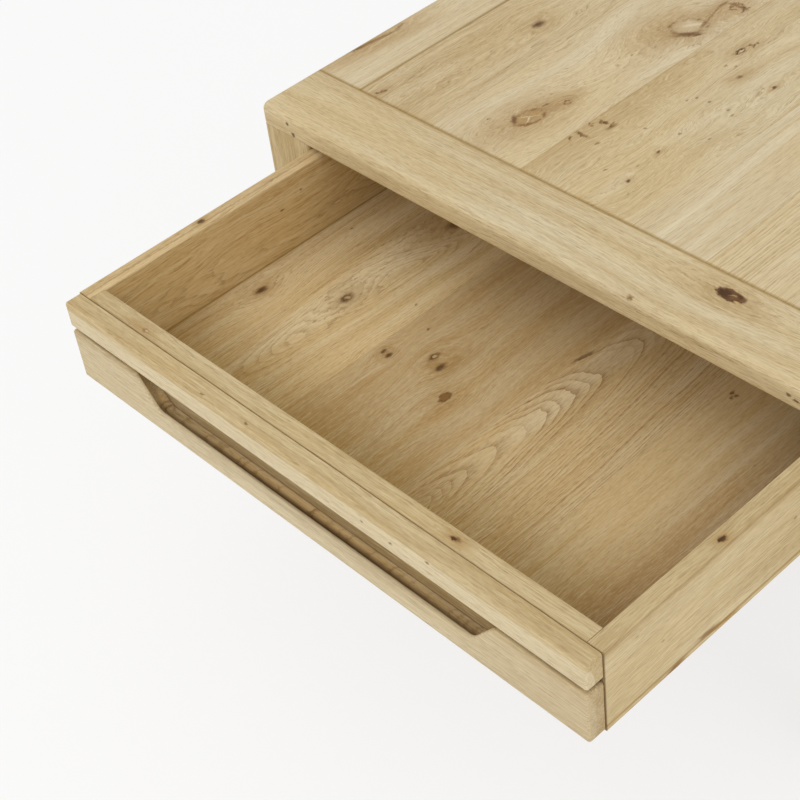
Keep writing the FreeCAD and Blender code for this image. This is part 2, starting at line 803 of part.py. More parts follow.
def make_apron(side):
    """The apron along one long side, tenoned into two legs and mortised for the divider."""
    board = Board(
        f"apron_{SIDE_NAMES[side]}",
        (minus("apron_outer"), minus("leg_inner_y"), "apron_bottom"),
        (minus("apron_inner"), "leg_inner_y", "top_underside"),
        (side, FRONT),
    )
    board.round("apron_edge_round", {"x": -1, "z": -1}, {"x": 1, "z": -1})
    board.add(APRON_TENON_LOW, APRON_TENON_HIGH)
    low_x, low_y, low_z = APRON_TENON_LOW
    high_x, high_y, high_z = APRON_TENON_HIGH
    board.add((low_x, minus(high_y), low_z), (high_x, minus(low_y), high_z))
    low_x, low_y, low_z = DIVIDER_TENON_LOW
    board.cut((f"{low_x} - mortise_end_gap", low_y, low_z), DIVIDER_TENON_HIGH)
    return board


def make_drawer_rail(end):
    """The rail under one drawer mouth, tenoned into both legs and mortised for the runners."""
    board = Board(
        f"drawer_rail_{END_NAMES[end]}",
        (minus("leg_inner_x"), minus("rail_outer_y"), "rail_bottom"),
        ("leg_inner_x", minus("leg_inner_y"), "drawer_floor"),
        (LEFT, end),
    )
    board.round("apron_edge_round", {"y": -1, "z": -1}, {"y": -1, "z": 1})
    for flip in ((LEFT, FRONT), (RIGHT, FRONT)):
        board.add(*flipped_box(RAIL_TENON_LOW, RAIL_TENON_HIGH, flip))
        low = (RUNNER_TENON_LOW_X, "-leg_inner_y - runner_tenon_length - mortise_end_gap", RUNNER_TENON_LOW_Z)
        high = (RUNNER_TENON_HIGH_X, minus("leg_inner_y"), RUNNER_TENON_HIGH_Z)
        board.cut(*flipped_box(low, high, flip))


def make_divider():
    """The board across the middle of the table, between the two drawers."""
    board = Board(
        "centre_divider",
        (minus("apron_inner"), minus("divider_face"), "apron_bottom"),
        ("apron_inner", "divider_face", "top_underside"),
    )
    board.round("apron_edge_round", {"y": -1, "z": -1}, {"y": 1, "z": -1})
    for side in (LEFT, RIGHT):
        board.add(*flipped_box(DIVIDER_TENON_LOW, DIVIDER_TENON_HIGH, (side, FRONT)))
        for end in (FRONT, REAR):
            low = (RUNNER_TENON_LOW_X, minus("divider_face"), RUNNER_TENON_LOW_Z)
            high = (RUNNER_TENON_HIGH_X, "runner_tenon_length - divider_face", RUNNER_TENON_HIGH_Z)
            board.cut(*flipped_box(low, high, (side, end)))


def make_glides():
    """The floor glides: a round pad with a pin that is driven into the leg's foot."""
    glides = []
    up = FreeCAD.Vector(0, 0, 1)
    for end in (FRONT, REAR):
        for side in (LEFT, RIGHT):
            name = f"glide_{END_NAMES[end]}_{SIDE_NAMES[side]}"
            foot, pad_foot, pin_foot = (
                flipped_point((*GLIDE_CENTRE, height), (side, end))
                for height in ("0", "glide_edge_bevel", "glide_height / 2")
            )
            bevel = doc.addObject("Part::Cone", f"{name}_bevel")
            bind(bevel, "Radius1", "glide_diameter / 2 - glide_edge_bevel")
            bind(bevel, "Radius2", "glide_diameter / 2")
            bind(bevel, "Height", "glide_edge_bevel")
            bind_base(bevel, foot)
            pad = cylinder(
                f"{name}_pad", pad_foot, up, "glide_diameter", "glide_height - glide_edge_bevel"
            )
            pin = cylinder(
                f"{name}_pin", pin_foot, up, "glide_pin_diameter", "glide_height / 2 + glide_pin_length"
            )
            glide = doc.addObject("Part::MultiFuse", name)
            glide.Shapes = [bevel, pad, pin]
            glides.append(glide)
    group("floor_glides", glides)


# Runners, guides and stops


def make_runner(side, end, screws):
    """One wooden runner with its guide on top and the block that stops the closing drawer."""
    place = f"{END_NAMES[end]}_{SIDE_NAMES[side]}"
    flip = (side, end)
    runner = Board(
        f"runner_{place}",
        (minus("apron_inner"), minus("leg_inner_y"), "drawer_floor - runner_height"),
        (minus("runner_inner"), minus("divider_face"), "drawer_floor"),
        flip,
    )
    for low, high in (
        ("-leg_inner_y - runner_tenon_length", minus("leg_inner_y")),
        (minus("divider_face"), "runner_tenon_length - divider_face"),
    ):
        runner.add(
            (RUNNER_TENON_LOW_X, low, RUNNER_TENON_LOW_Z),
            (RUNNER_TENON_HIGH_X, high, RUNNER_TENON_HIGH_Z),
        )
    guide = Board(
        f"guide_{place}",
        (minus("apron_inner"), minus("leg_inner_y"), "drawer_floor"),
        (minus("leg_inner_x"), minus("divider_face"), "drawer_floor + guide_height"),
        flip,
    )
    guide.round("drawer_edge_round", {"x": 1, "z": 1}, {"x": 1, "y": -1})
    for along in (
        "-leg_inner_y + guide_screw_inset",
        "-(leg_inner_y + divider_face) / 2",
        "-divider_face - guide_screw_inset",
    ):
        start = ("-(apron_inner + leg_inner_x) / 2", along, "drawer_floor + guide_height")
        screws.drive(start, (0, 0, -1), flip, guide, runner)
    stop = Board(
        f"closing_stop_{place}",
        (minus("leg_inner_x"), "stop_clearance - box_end_y", "drawer_floor"),
        (minus("runner_inner"), "stop_clearance - box_end_y + stop_length", "drawer_floor + stop_height"),
        flip,
    )
    stop.round("drawer_edge_round", *[{axis: i, "z": 1} for axis in "xy" for i in (-1, 1)])


# Brackets that hold the top down on the aprons


def make_bracket(name, side, along):
    """One angle bracket: a leg on the apron and a leg under the top."""
    upright = doc.addObject("Part::Box", f"{name}_upright")
    flat = doc.addObject("Part::Box", f"{name}_flat")
    y_low = f"({along}) - bracket_width / 2"
    y_high = f"({along}) + bracket_width / 2"
    boxes = (
        (upright, "bracket_thickness - apron_inner", "top_underside - bracket_leg"),
        (flat, "bracket_leg - apron_inner", "top_underside - bracket_thickness"),
    )
    for box, x_high, z_low in boxes:
        low, high = flipped_box(
            (minus("apron_inner"), y_low, z_low), (x_high, y_high, "top_underside"), (side, FRONT)
        )
        for prop, first, last in zip(("Length", "Width", "Height"), low, high):
            bind(box, prop, span(first, last))
        bind_base(box, low)
    bracket = doc.addObject("Part::MultiFuse", f"{name}_blank")
    bracket.Shapes = [upright, flat]
    return bracket


def pan_head_screw(name, start, direction):
    """A screw whose low round head sits on the bracket, starting at the bracket's face."""
    shank = cylinder(f"{name}_shank", start, direction, "bracket_screw_diameter", "bracket_screw_length")
    head = cylinder(
        f"{name}_head",
        start,
        direction.negative(),
        "bracket_screw_head",
        "bracket_screw_head_height",
    )
    screw = doc.addObject("Part::MultiFuse", name)
    screw.Shapes = [shank, head]
    return screw


def make_brackets(aprons, edge_boards):
    """All brackets, their screws, and the screw holes in brackets, aprons and edge boards."""
    brackets, screws = [], []
    places = ["bracket_inner_place", "bracket_outer_place"]
    places += [minus(place) for place in places]
    for side in (LEFT, RIGHT):
        flip = (side, FRONT)
        for along in places:
            name = f"bracket_{len(brackets) + 1}"
            shape = make_bracket(name, side, along)
            ways = (
                (
                    ("bracket_thickness - apron_inner", along, "top_underside - bracket_hole_inset"),
                    (-1, 0, 0),
                    aprons[side],
                ),
                (
                    ("bracket_hole_inset - apron_inner", along, "top_underside - bracket_thickness"),
                    (0, 0, 1),
                    edge_boards[side],
                ),
            )
            for start, direction, board in ways:
                board.bore(
                    start, direction, "bracket_screw_diameter", "bracket_screw_length", flip
                )
                way = flipped_direction(direction, flip)
                point = flipped_point(start, flip)
                hole = cylinder(
                    f"{name}_hole_{len(screws) + 1}",
                    point,
                    way,
                    "bracket_screw_diameter",
                    "bracket_thickness",
                )
                pierced = doc.addObject("Part::Cut", f"{name}_pierced_{len(screws) + 1}")
                pierced.Base = shape
                pierced.Tool = hole
                shape = pierced
                screws.append(pan_head_screw(f"bracket_screw_{len(screws) + 1}", point, way))
            brackets.append(shape)
    group("top_brackets", brackets)
    group("bracket_screws", screws)


# Drawers


class Drawer:
    """One drawer, with every place shifted along Y by how far it stands open."""

    def __init__(self, end, opened):
        self.end = end
        self.name = f"{END_NAMES[end]}_drawer"
        self.opened = opened

    def at(self, x, y, z):
        """A place on the closed front drawer, moved out with the drawer."""
        return (x, f"({y}) - ({self.opened})", z)

    def board(self, piece, low, high, side=LEFT):
        """One board of this drawer."""
        return Board(f"{self.name}_{piece}", self.at(*low), self.at(*high), (side, self.end))

    def make(self):
        """Build every piece of the drawer."""
        self.make_box()
        self.make_strip()
        self.make_lower_front()
        self.make_catch()
        self.join_corners()
        self.drive_screws()

    def make_box(self):
        """Sides, front, back and bottom of the box, rebated for the bottom."""
        rebate_top = "bottom_top"
        self.sides = {}
        for side in (LEFT, RIGHT):
            board = self.board(
                f"{SIDE_NAMES[side]}_side",
                (minus("drawer_half_width"), minus("box_face_y"), "drawer_floor"),
                (minus("side_inner"), minus("box_end_y"), "drawer_top"),
                side,
            )
            board.round("drawer_edge_round", *long_edges("y"))
            board.cut(
                self.at("-side_inner - bottom_rebate", "bottom_rebate - box_face_y", "drawer_floor"),
                self.at(minus("side_inner"), "-box_end_y", rebate_top),
            )
            self.sides[side] = board
        self.box_front = self.board(
            "box_front",
            (minus("side_inner"), minus("box_face_y"), "drawer_floor"),
            ("side_inner", minus("box_front_inner_y"), "drawer_top"),
        )
        self.box_front.round("drawer_edge_round", {"y": -1, "z": 1}, {"y": 1, "z": 1})
        self.box_front.cut(
            self.at(minus("side_inner"), "-box_front_inner_y - bottom_rebate", "drawer_floor"),
            self.at("side_inner", minus("box_front_inner_y"), rebate_top),
        )
        self.back = self.board(
            "back",
            (minus("side_inner"), minus("back_inner_y"), "drawer_floor"),
            ("side_inner", minus("box_end_y"), "drawer_top"),
        )
        self.back.round("drawer_edge_round", {"y": -1, "z": 1}, {"y": 1, "z": 1})
        self.back.cut(
            self.at(minus("side_inner"), minus("back_inner_y"), "drawer_floor"),
            self.at("side_inner", "bottom_rebate - back_inner_y", rebate_top),
        )
        edge = "bottom_rebate - bottom_clearance"
        self.bottom = self.board(
            "bottom",
            (f"-side_inner - ({edge})", f"-box_front_inner_y - ({edge})", "drawer_floor + bottom_raise"),
            (f"side_inner + ({edge})", f"-back_inner_y + ({edge})", rebate_top),
        )

    def make_strip(self):
        """The upper strip of the front."""
        self.strip = self.board(
            "front_strip",
            (minus("front_half_width"), minus("front_face_y"), "strip_bottom"),
            ("front_half_width", minus("box_face_y"), "drawer_top"),
        )
        back = [pick for pick in all_edges() if pick.get("y") == 1]
        self.strip.round("front_edge_round", *(pick for pick in all_edges() if pick not in back))
        self.strip.round("front_back_round", *back)

    def make_lower_front(self):
        """The lower board of the front, notched for the fingers and coved behind the notch."""
        self.lower_front = GripBoard(
            f"{self.name}_lower_front",
            self.at("0", minus("box_face_y"), "lower_front_bottom"),
            (LEFT, self.end),
        )

    def make_catch(self):
        """The block under the back that meets the drawer rail when the drawer is pulled out."""
        self.catch = self.board(
            "catch",
            ("-catch_width / 2", "-box_end_y - catch_depth", "drawer_floor - catch_height"),
            ("catch_width / 2", minus("box_end_y"), "drawer_floor"),
        )
        self.catch.round("drawer_edge_round", *[{axis: i, "z": -1} for axis in "xy" for i in (-1, 1)])

    def join_corners(self):
        """Dowel the sides to the box front and the back."""
        dowels = []
        heights = ("drawer_floor + dowel_end_inset", "drawer_top - dowel_end_inset")
        joints = (
            (self.box_front, "-(box_face_y + box_front_inner_y) / 2"),
            (self.back, "-(back_inner_y + box_end_y) / 2"),
        )
        for side in (LEFT, RIGHT):
            flip = (side, self.end)
            for board, along in joints:
                for height in heights:
                    start = self.at("-side_inner - dowel_side_depth", along, height)
                    for bored in (self.sides[side], board):
                        bored.bore(start, (1, 0, 0), "dowel_diameter", "dowel_length", flip)
                    name = f"{self.name}_dowel_{len(dowels) + 1}"
                    way = flipped_direction((1, 0, 0), flip)
                    point = flipped_point(start, flip)
                    dowels.append(cylinder(name, point, way, "dowel_diameter", "dowel_length"))
        group(f"{self.name}_dowels", dowels)

    def drive_screws(self):
        """Screw the front boards and the catch to the box, and the bottom into its rebates."""
        flip = (LEFT, self.end)
        screws = ScrewSet(f"{self.name}_front_screws", "front_screw")
        outer = "front_half_width - front_screw_inset"
        rows = (
            (self.strip, "(strip_bottom + drawer_top) / 2"),
            (self.lower_front, "lower_front_bottom + front_screw_height"),
        )
        for board, height in rows:
            for across in (minus(outer), "-front_screw_spread", "front_screw_spread", outer):
                start = self.at(across, minus("box_front_inner_y"), height)
                screws.drive(start, (0, -1, 0), flip, self.box_front, board)
        for across in ("catch_screw_inset - catch_width / 2", "catch_width / 2 - catch_screw_inset"):
            start = self.at(
                across,
                "-box_end_y - (drawer_back_thickness - bottom_rebate) / 2",
                "drawer_floor - catch_height",
            )
            screws.drive(start, (0, 0, 1), flip, self.catch, self.back)
        screws.finish()
        self.screw_bottom(flip)

    def screw_bottom(self, flip):
        """Drive the small screws up through the bottom into the rebates around it."""
        screws = ScrewSet(f"{self.name}_bottom_screws", "bottom_screw")
        height = "drawer_floor + bottom_raise"
        across = "side_inner + bottom_rebate / 2"
        front_line = "-box_front_inner_y - bottom_rebate / 2"
        back_line = "-back_inner_y + bottom_rebate / 2"
        middle = f"(({front_line}) + ({back_line})) / 2"
        alongs = (f"{front_line} + bottom_screw_inset", middle, f"{back_line} - bottom_screw_inset")
        for along in alongs:
            left = self.at(minus(across), along, height)
            screws.drive(left, (0, 0, 1), flip, self.bottom, self.sides[LEFT])
            right = self.at(across, along, height)
            screws.drive(right, (0, 0, 1), flip, self.bottom, self.sides[RIGHT])
        for along, board in ((front_line, self.box_front), (back_line, self.back)):
            for place in ("bottom_screw_inset - side_inner", "0", "side_inner - bottom_screw_inset"):
                screws.drive(self.at(place, along, height), (0, 0, 1), flip, self.bottom, board)
        screws.finish()


def build():
    """Build the whole table in the document."""
    fill_sheet()
    edge_boards = make_top()
    for end in (FRONT, REAR):
        for side in (LEFT, RIGHT):
            make_leg(side, end)
    aprons = {side: make_apron(side) for side in (LEFT, RIGHT)}
    make_brackets(aprons, edge_boards)
    for end in (FRONT, REAR):
        make_drawer_rail(end)
    make_divider()
    make_glides()
    guide_screws = ScrewSet("guide_screws", "guide_screw")
    for end in (FRONT, REAR):
        for side in (LEFT, RIGHT):
            make_runner(side, end, guide_screws)
    guide_screws.finish()
    Drawer(FRONT, "front_drawer_open").make()
    Drawer(REAR, "0").make()
    doc.recompute()


def check():
    """Stop if any object failed or any node is empty or invalid."""
    failed = [item.Name for item in doc.Objects if {"Invalid", "Error"} & set(item.State)]
    if failed:
        raise RuntimeError(f"objects that failed: {failed}")
    for node in NODES:
        if node.Shape.isNull() or not node.Shape.isValid():
            raise RuntimeError(f"{node.Label} has no valid shape")


def export():
    """Write each node to its own file."""
    os.makedirs("parts", exist_ok=True)
    for node in NODES:
        node.Shape.exportStep(f"parts/{node.Label}.step")


build()
check()
export()
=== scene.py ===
"""Looks of a low oak table with a drawer in each end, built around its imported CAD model.

Every length in a finish is in millimetres of the real table, every colour is an sRGB hex value.
"""

import logging
import math
import random
from dataclasses import dataclass, replace
from enum import Enum

import bpy
from mathutils import Matrix, Vector


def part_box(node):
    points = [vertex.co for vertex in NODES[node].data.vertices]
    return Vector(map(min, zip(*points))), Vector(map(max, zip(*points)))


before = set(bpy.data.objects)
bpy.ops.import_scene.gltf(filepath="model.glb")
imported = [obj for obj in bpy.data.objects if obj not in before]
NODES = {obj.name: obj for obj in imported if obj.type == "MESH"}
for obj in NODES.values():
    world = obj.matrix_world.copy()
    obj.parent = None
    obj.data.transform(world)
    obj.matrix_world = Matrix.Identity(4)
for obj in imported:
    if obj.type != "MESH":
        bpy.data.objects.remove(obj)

logging.basicConfig(level=logging.INFO, format="%(name)s: %(message)s")
LOG = logging.getLogger("oak_table")

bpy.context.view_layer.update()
MM = 1000.0

# A mark this long runs out of both ends of any board, and one this deep goes right through it.
ENDLESS = 9000.0
THROUGH = 5000.0
# How far apart in the tree two boards are cut, along it and into it.
CUT_ALONG = 731.0
CUT_DEEP = 57.0
# How fast a knot's pull on the grain falls off, and how far it pushes the fibres, as a share of its width.
PULL_FALL = 0.2
PULL_PUSH = 0.72
# Good and bad years come in spells of about three, which shift the rings by up to this many of them.
YEAR_SPELL = 0.31
YEAR_SPREAD = 2.6
# How sharply the dark line at the start of a year fades.
YEAR_FADE = 2.4

Tree = bpy.types.NodeTree
Socket = bpy.types.NodeSocket


def linear(colour: str) -> tuple[float, float, float, float]:
    """Turn an sRGB hex colour into linear light.

    Args:
        colour: six hex digits, with or without a leading hash.

    Returns:
        Linear red, green, blue and a full alpha.
    """
    digits = colour.lstrip("#")
    shares = [int(digits[i:i + 2], 16) / 255.0 for i in (0, 2, 4)]
    light = [s / 12.92 if s <= 0.04045 else ((s + 0.055) / 1.055) ** 2.4 for s in shares]
    return (light[0], light[1], light[2], 1.0)


def add_node(tree: Tree, kind: str, inputs: dict | None = None, **settings: object) -> bpy.types.Node:
    """Add one node with its settings, values and links.

    Args:
        tree: the node tree that gets the node.
        kind: Blender's name of the node type.
        inputs: a value or an output socket for each input, by name or index.
        settings: properties of the node.

    Returns:
        The new node.
    """
    node = tree.nodes.new(kind)
    for key, value in settings.items():
        setattr(node, key, value)
    for key, value in (inputs or {}).items():
        if isinstance(value, bpy.types.NodeSocket):
            tree.links.new(value, node.inputs[key])
        else:
            node.inputs[key].default_value = value
    return node


def blank_material(name: str) -> bpy.types.Material:
    """Make a node material with no nodes yet.

    Args:
        name: what it is.

    Returns:
        The material.
    """
    material = bpy.data.materials.new(name)
    material.use_nodes = True
    material.node_tree.nodes.clear()
    return material


class Run(Enum):
    """Which axes of the table run along, across and into a board."""

    END_TO_END = (1, 0, 2)      # grain along the table's length, lying flat
    SIDE_TO_SIDE = (0, 1, 2)    # grain across the table, lying flat
    UPRIGHT_LONG = (1, 2, 0)    # grain along the length, standing on edge
    UPRIGHT_CROSS = (0, 2, 1)   # grain across the table, standing on edge
    POST = (2, 0, 1)            # grain upwards


class Stain(Enum):
    """Colours that knots, cracks and pale or tinted streaks take in the wood; some also paint shade and light
    in the drawer.
    """

    KNOT = "#452807"
    RIM = "#653f17"
    FLECK = "#7a5322"
    HALO = "#a07a40"
    HEART = "#c6a871"
    SAP = "#d9c9a7"
    BLEACH = "#e0d0a8"
    AMBER = "#ecca8e"
    # Dust in the grooves, and painted shade along the walls of the drawer bottom.
    DUST_AND_SHADE = "#8f6c1c"


@dataclass(frozen=True)
class Mark:
    """One knot, crack, fleck or tinted streak in a board, as a soft ellipsoid.

    The grain flows around it where it has a pull: that many rings close up around it. A hollow mark is
    only its own broken rim, that share of its size wide. One that lies under is painted before the fibres.
    """

    along: float                # its middle along the grain
    across: float               # and across it
    length: float               # half its length
    width: float                # half its width
    stain: Stain = Stain.KNOT
    turn: float = 0.0           # degrees
    soft: float = 0.3           # the share of its size over which its edge fades
    strength: float = 0.9
    pull: float = 0.0
    deep: float = 0.0           # its middle into the board
    depth: float = THROUGH      # half its depth
    ragged: bool = True
    hollow: float = 0.0
    under: bool = False


@dataclass(frozen=True)
class Seam:
    """A glue line across a board, past which another piece of wood begins.

    That piece comes from a jump away in the tree, and is darker and has bolder rings by a share.
    """

    across: float
    jump: tuple[float, float, float]
    shade: float = 0.0
    figure: float = 0.0


@dataclass(frozen=True)
class Tone:
    """The colours of one piece of wood."""

    pale: str
    tan: str
    gold: str
    ring: str
    pore: str


@dataclass(frozen=True)
class Growth:
    """How the tree grew: where its pith runs, its rings, and what shows along its grain, by length and width.

    Real pores are 0.3 mm wide, too fine to show from where the table is seen, so the bristles that
    stand for them are drawn wider.
    """

    pith: tuple[float, float, float] = (0.0, -260.0, -120.0)
    lean: float = 0.0           # the pith's slant into the board, in degrees
    turn: float = 0.5           # and in its face
    ring: float = 4.2           # a year's width
    wander: float = 5.0         # how far the grain strays
    ring_show: float = 0.5
    year_least: float = 0.15    # how faint the faintest year is
    streak: tuple[float, float] = (95.0, 1.6)
    streak_show: float = 0.4
    bristle: tuple[float, float] = (12.0, 0.85)
    bristle_show: float = 0.34
    slow: tuple[float, float] = (170.0, 42.0)
    fibre: tuple[float, float] = (11.0, 4.0)
    fibre_swing: float = 0.616
    tear: tuple[float, float] = (6.0, 3.4)
    tear_swing: tuple[float, float] = (8.0, 5.0)
    band: tuple[float, float] = (320.0, 20.0)
    patch: tuple[float, float] = (220.0, 90.0)


FAIR = Tone(pale="#d4c4a0", tan="#c5af85", gold="#ceb585", ring="#a88e63", pore="#866b45")
TAWNY = Tone(pale="#ccb890", tan="#bba379", gold="#c3a878", ring="#a0855a", pore="#806440")
HONEY = Tone(pale="#d4ba8a", tan="#c4a46f", gold="#cbab70", ring="#a4824c", pore="#846437")
SAND = Tone(pale="#c0ad88", tan="#b29c74", gold="#b8a072", ring="#988056", pore="#7b623f")
CREAM = Tone(pale="#d9caa9", tan="#ccb892", gold="#d2bc90", ring="#b1986f", pore="#917852")
DUN = Tone(pale="#c8b389", tan="#b89f70", gold="#c0a570", ring="#9b8052", pore="#7d603b")
VENEER = Tone(pale="#e2cda2", tan="#d3b682", gold="#d9bb84", ring="#8c622b", pore="#7a5528")
WAXED = Tone(pale="#b98f63", tan="#a97f55", gold="#b0865a", ring="#97704a", pore="#805c3b")
BEECH = Tone(pale="#d0ae83", tan="#c29d70", gold="#c8a476", ring="#b08a5e", pore="#94714a")


@dataclass(frozen=True)
class Spot:
    """A mark as it lies in a material: where it covers the wood, and where the rings bulge around it."""

    mark: Mark
    cover: Socket
    bulge: Socket | None


@dataclass(frozen=True)
class Grain:
    """The patterns of one wood, from which its colour, gloss and relief are made."""

    band: Socket
    patch: Socket
    lines: Socket
    streak: Socket
    bristle: Socket
    shade: Socket | None
    spots: list[Spot]


@dataclass(frozen=True)
class Wood:
    """Solid wood with rings, streaks, pores and knots in all its depth.

    Wild oak under a matt oil: fine broken streaks of cream and tan, rings that start with a
    darker line of pores, and brown knots that the grain flows around.
    """

    name: str
    run: Run
    tone: Tone
    growth: Growth = Growth()
    marks: tuple[Mark, ...] = ()
    seams: tuple[Seam, ...] = ()
    seed: float = 0.0
    roughness: tuple[float, float] = (0.52, 0.66)
    end_shade: float = 0.3

    def start(self) -> tuple[float, float, float]:
        """Where in the tree this board was cut, away from every other board."""
        return (self.seed * CUT_ALONG, 0.0, self.seed * CUT_DEEP)

    def glue(self, tree: Tree, board: Socket) -> tuple[Socket, Socket | None, Socket | float]:
        """Begin another piece of wood past each seam.

        Args:
            tree: the material's nodes.
            board: the place in the board.

        Returns:
            The place in the tree, how much darker the piece is past a seam, and how bold its rings are.
        """
        grown = add_node(tree, "ShaderNodeVectorMath", {0: board, 1: self.start()}).outputs[0]
        shade: Socket | None = None
        figure: Socket | float = self.growth.ring_show
        if not self.seams:
            return grown, shade, figure
        across = add_node(tree, "ShaderNodeSeparateXYZ", {0: board}).outputs[1]
        for seam in self.seams:
            past = add_node(tree, "ShaderNodeMath", {0: across, 1: seam.across},
                            operation="GREATER_THAN").outputs[0]
            grown = add_node(tree, "ShaderNodeVectorMath", {0: past, 1: seam.jump, 2: grown},
                             operation="MULTIPLY_ADD").outputs[0]
            shade = add_node(tree, "ShaderNodeMath",
                             {0: past, 1: seam.shade, 2: 0.0 if shade is None else shade},
                             operation="MULTIPLY_ADD").outputs[0]
            figure = add_node(tree, "ShaderNodeMath", {0: past, 1: seam.figure, 2: figure},
                              operation="MULTIPLY_ADD").outputs[0]
        return grown, shade, figure

    def spindles(self, tree: Tree, where: Socket, size: tuple[float, float], detail: float,
                 roughness: float = 0.5) -> bpy.types.Node:
        """Lay noise in spindles along the grain.

        Args:
            tree: the material's nodes.
            where: the place in the wood.
            size: a spindle's length and width.
            detail: how many finer layers it has.
            roughness: how much the finer layers show.

        Returns:
            The noise node.
        """
        length, width = size
        shrunk = add_node(tree, "ShaderNodeVectorMath", {0: where, 1: (1 / length, 1 / width, 1 / width)},
                          operation="MULTIPLY")
        return add_node(tree, "ShaderNodeTexNoise",
                        {"Vector": shrunk.outputs[0], "Scale": 1.0, "Detail": detail, "Roughness": roughness})

    def cover(self, tree: Tree, mark: Mark, inside: Socket, ragged: bpy.types.Node) -> Socket:
        """Tell how far a mark covers the wood.

        Args:
            tree: the material's nodes.
            mark: the mark.
            inside: its own coordinates, of length 1 at its edge.
            ragged: the noise that breaks the rim of a hollow mark.

        Returns:
            The share that it covers.
        """
        away = add_node(tree, "ShaderNodeVectorMath", {0: inside}, operation="LENGTH").outputs["Value"]
        share = add_node(tree, "ShaderNodeMapRange",
                         {"Value": away, 1: 1.0 + mark.soft, 2: 1.0 - mark.soft, 3: 0.0, 4: mark.strength},
                         interpolation_type="SMOOTHSTEP")
        if mark.hollow:
            inner = add_node(tree, "ShaderNodeMapRange",
                             {"Value": away, 1: 1.0 - 1.5 * mark.hollow, 2: 1.0 - 0.5 * mark.hollow},
                             interpolation_type="SMOOTHSTEP")
            broken = add_node(tree, "ShaderNodeMapRange", {"Value": ragged.outputs["Fac"], 1: 0.38, 2: 0.6})
            rim = add_node(tree, "ShaderNodeMath", {0: inner.outputs[0], 1: broken.outputs[0]},
                           operation="MULTIPLY")
            share = add_node(tree, "ShaderNodeMath", {0: share.outputs[0], 1: rim.outputs[0]},
                             operation="MULTIPLY")
        return share.outputs[0]

    def set_marks(self, tree: Tree, board: Socket, grown: Socket, flow: Socket) -> tuple[list[Spot], Socket]:
        """Set each mark in the board, and let the grain flow around those that pull.

        Args:
            tree: the material's nodes.
            board: the place in the board.
            grown: the place in the tree.
            flow: the place in the tree that the fibres follow.

        Returns:
            The marks as they lie, and the flow around them.
        """
        if not self.marks:
            return [], flow
        # The wood is torn along the outline of a ragged mark.
        ragged = self.spindles(tree, grown, self.growth.tear, 3.0, 0.65)
        long, wide = self.growth.tear_swing
        tear = add_node(tree, "ShaderNodeVectorMath",
                        {0: ragged.outputs["Color"], 1: (long, wide, wide),
                         2: (-long / 2, -wide / 2, -wide / 2)},
                        operation="MULTIPLY_ADD")
        torn = add_node(tree, "ShaderNodeVectorMath", {0: board, 1: tear.outputs[0]}).outputs[0]
        spots: list[Spot] = []
        for mark in self.marks:
            inside = add_node(tree, "ShaderNodeMapping",
                              {"Vector": torn if mark.ragged else board,
                               "Location": (mark.along, mark.across, mark.deep),
                               "Rotation": (0.0, 0.0, math.radians(mark.turn)),
                               "Scale": (mark.length, mark.width, mark.depth)},
                              vector_type="TEXTURE").outputs[0]
            cover = self.cover(tree, mark, inside, ragged)
            bulge: Socket | None = None
            if mark.pull:
                square = add_node(tree, "ShaderNodeVectorMath", {0: inside, 1: inside},
                                  operation="DOT_PRODUCT")
                fall = add_node(tree, "ShaderNodeMath", {0: square.outputs["Value"], 1: -PULL_FALL},
                                operation="MULTIPLY")
                bulge = add_node(tree, "ShaderNodeMath", {0: fall.outputs[0]},
                                 operation="EXPONENT").outputs[0]
                push = add_node(tree, "ShaderNodeVectorMath",
                                {0: inside, 1: (0.0, -PULL_PUSH * mark.width, 0.0)},
                                operation="MULTIPLY")
                flow = add_node(tree, "ShaderNodeVectorMath", {0: push.outputs[0], 1: bulge, 2: flow},
                                operation="MULTIPLY_ADD").outputs[0]
            spots.append(Spot(mark, cover, bulge))
        return spots, flow

    def lay_rings(self, tree: Tree, ringed: Socket, spots: list[Spot]) -> Socket:
        """Lay the year rings by the distance from the pith.

        Args:
            tree: the material's nodes.
            ringed: the place in the tree, with its fibres' unevenness.
            spots: the marks, around which the rings close up.

        Returns:
            A line that is sharp and dark where a year starts, with its row of pores, and fades through it.
        """
        g, start = self.growth, self.start()
        pith = (g.pith[0] + start[0], g.pith[1] + 2 * g.wander, g.pith[2] + start[2] + 2 * g.wander)
        pithed = add_node(tree, "ShaderNodeMapping",
                          {"Vector": ringed, "Location": pith,
                           "Rotation": (0.0, math.radians(g.lean), math.radians(g.turn))},
                          vector_type="TEXTURE")
        radial = add_node(tree, "ShaderNodeVectorMath", {0: pithed.outputs[0], 1: (0.0, 1.0, 1.0)},
                          operation="MULTIPLY")
        radius = add_node(tree, "ShaderNodeVectorMath", {0: radial.outputs[0]}, operation="LENGTH")
        years = add_node(tree, "ShaderNodeMath", {0: radius.outputs["Value"], 1: 1 / g.ring},
                         operation="MULTIPLY").outputs[0]
        spell = add_node(tree, "ShaderNodeMath", {0: years, 1: YEAR_SPELL, 2: self.seed},
                         operation="MULTIPLY_ADD")
        good = add_node(tree, "ShaderNodeTexNoise", {"W": spell.outputs[0], "Scale": 1.0, "Detail": 1.0},
                        noise_dimensions="1D")
        phase = add_node(tree, "ShaderNodeMath", {0: good.outputs["Fac"], 1: YEAR_SPREAD, 2: years},
                         operation="MULTIPLY_ADD").outputs[0]
        for spot in spots:
            if spot.bulge is not None:
                phase = add_node(tree, "ShaderNodeMath", {0: spot.bulge, 1: spot.mark.pull, 2: phase},
                                 operation="MULTIPLY_ADD").outputs[0]
        index = add_node(tree, "ShaderNodeMath", {0: phase}, operation="FLOOR")
        part = add_node(tree, "ShaderNodeMath", {0: phase}, operation="FRACT")
        left = add_node(tree, "ShaderNodeMath", {0: 1.0, 1: part.outputs[0]}, operation="SUBTRACT")
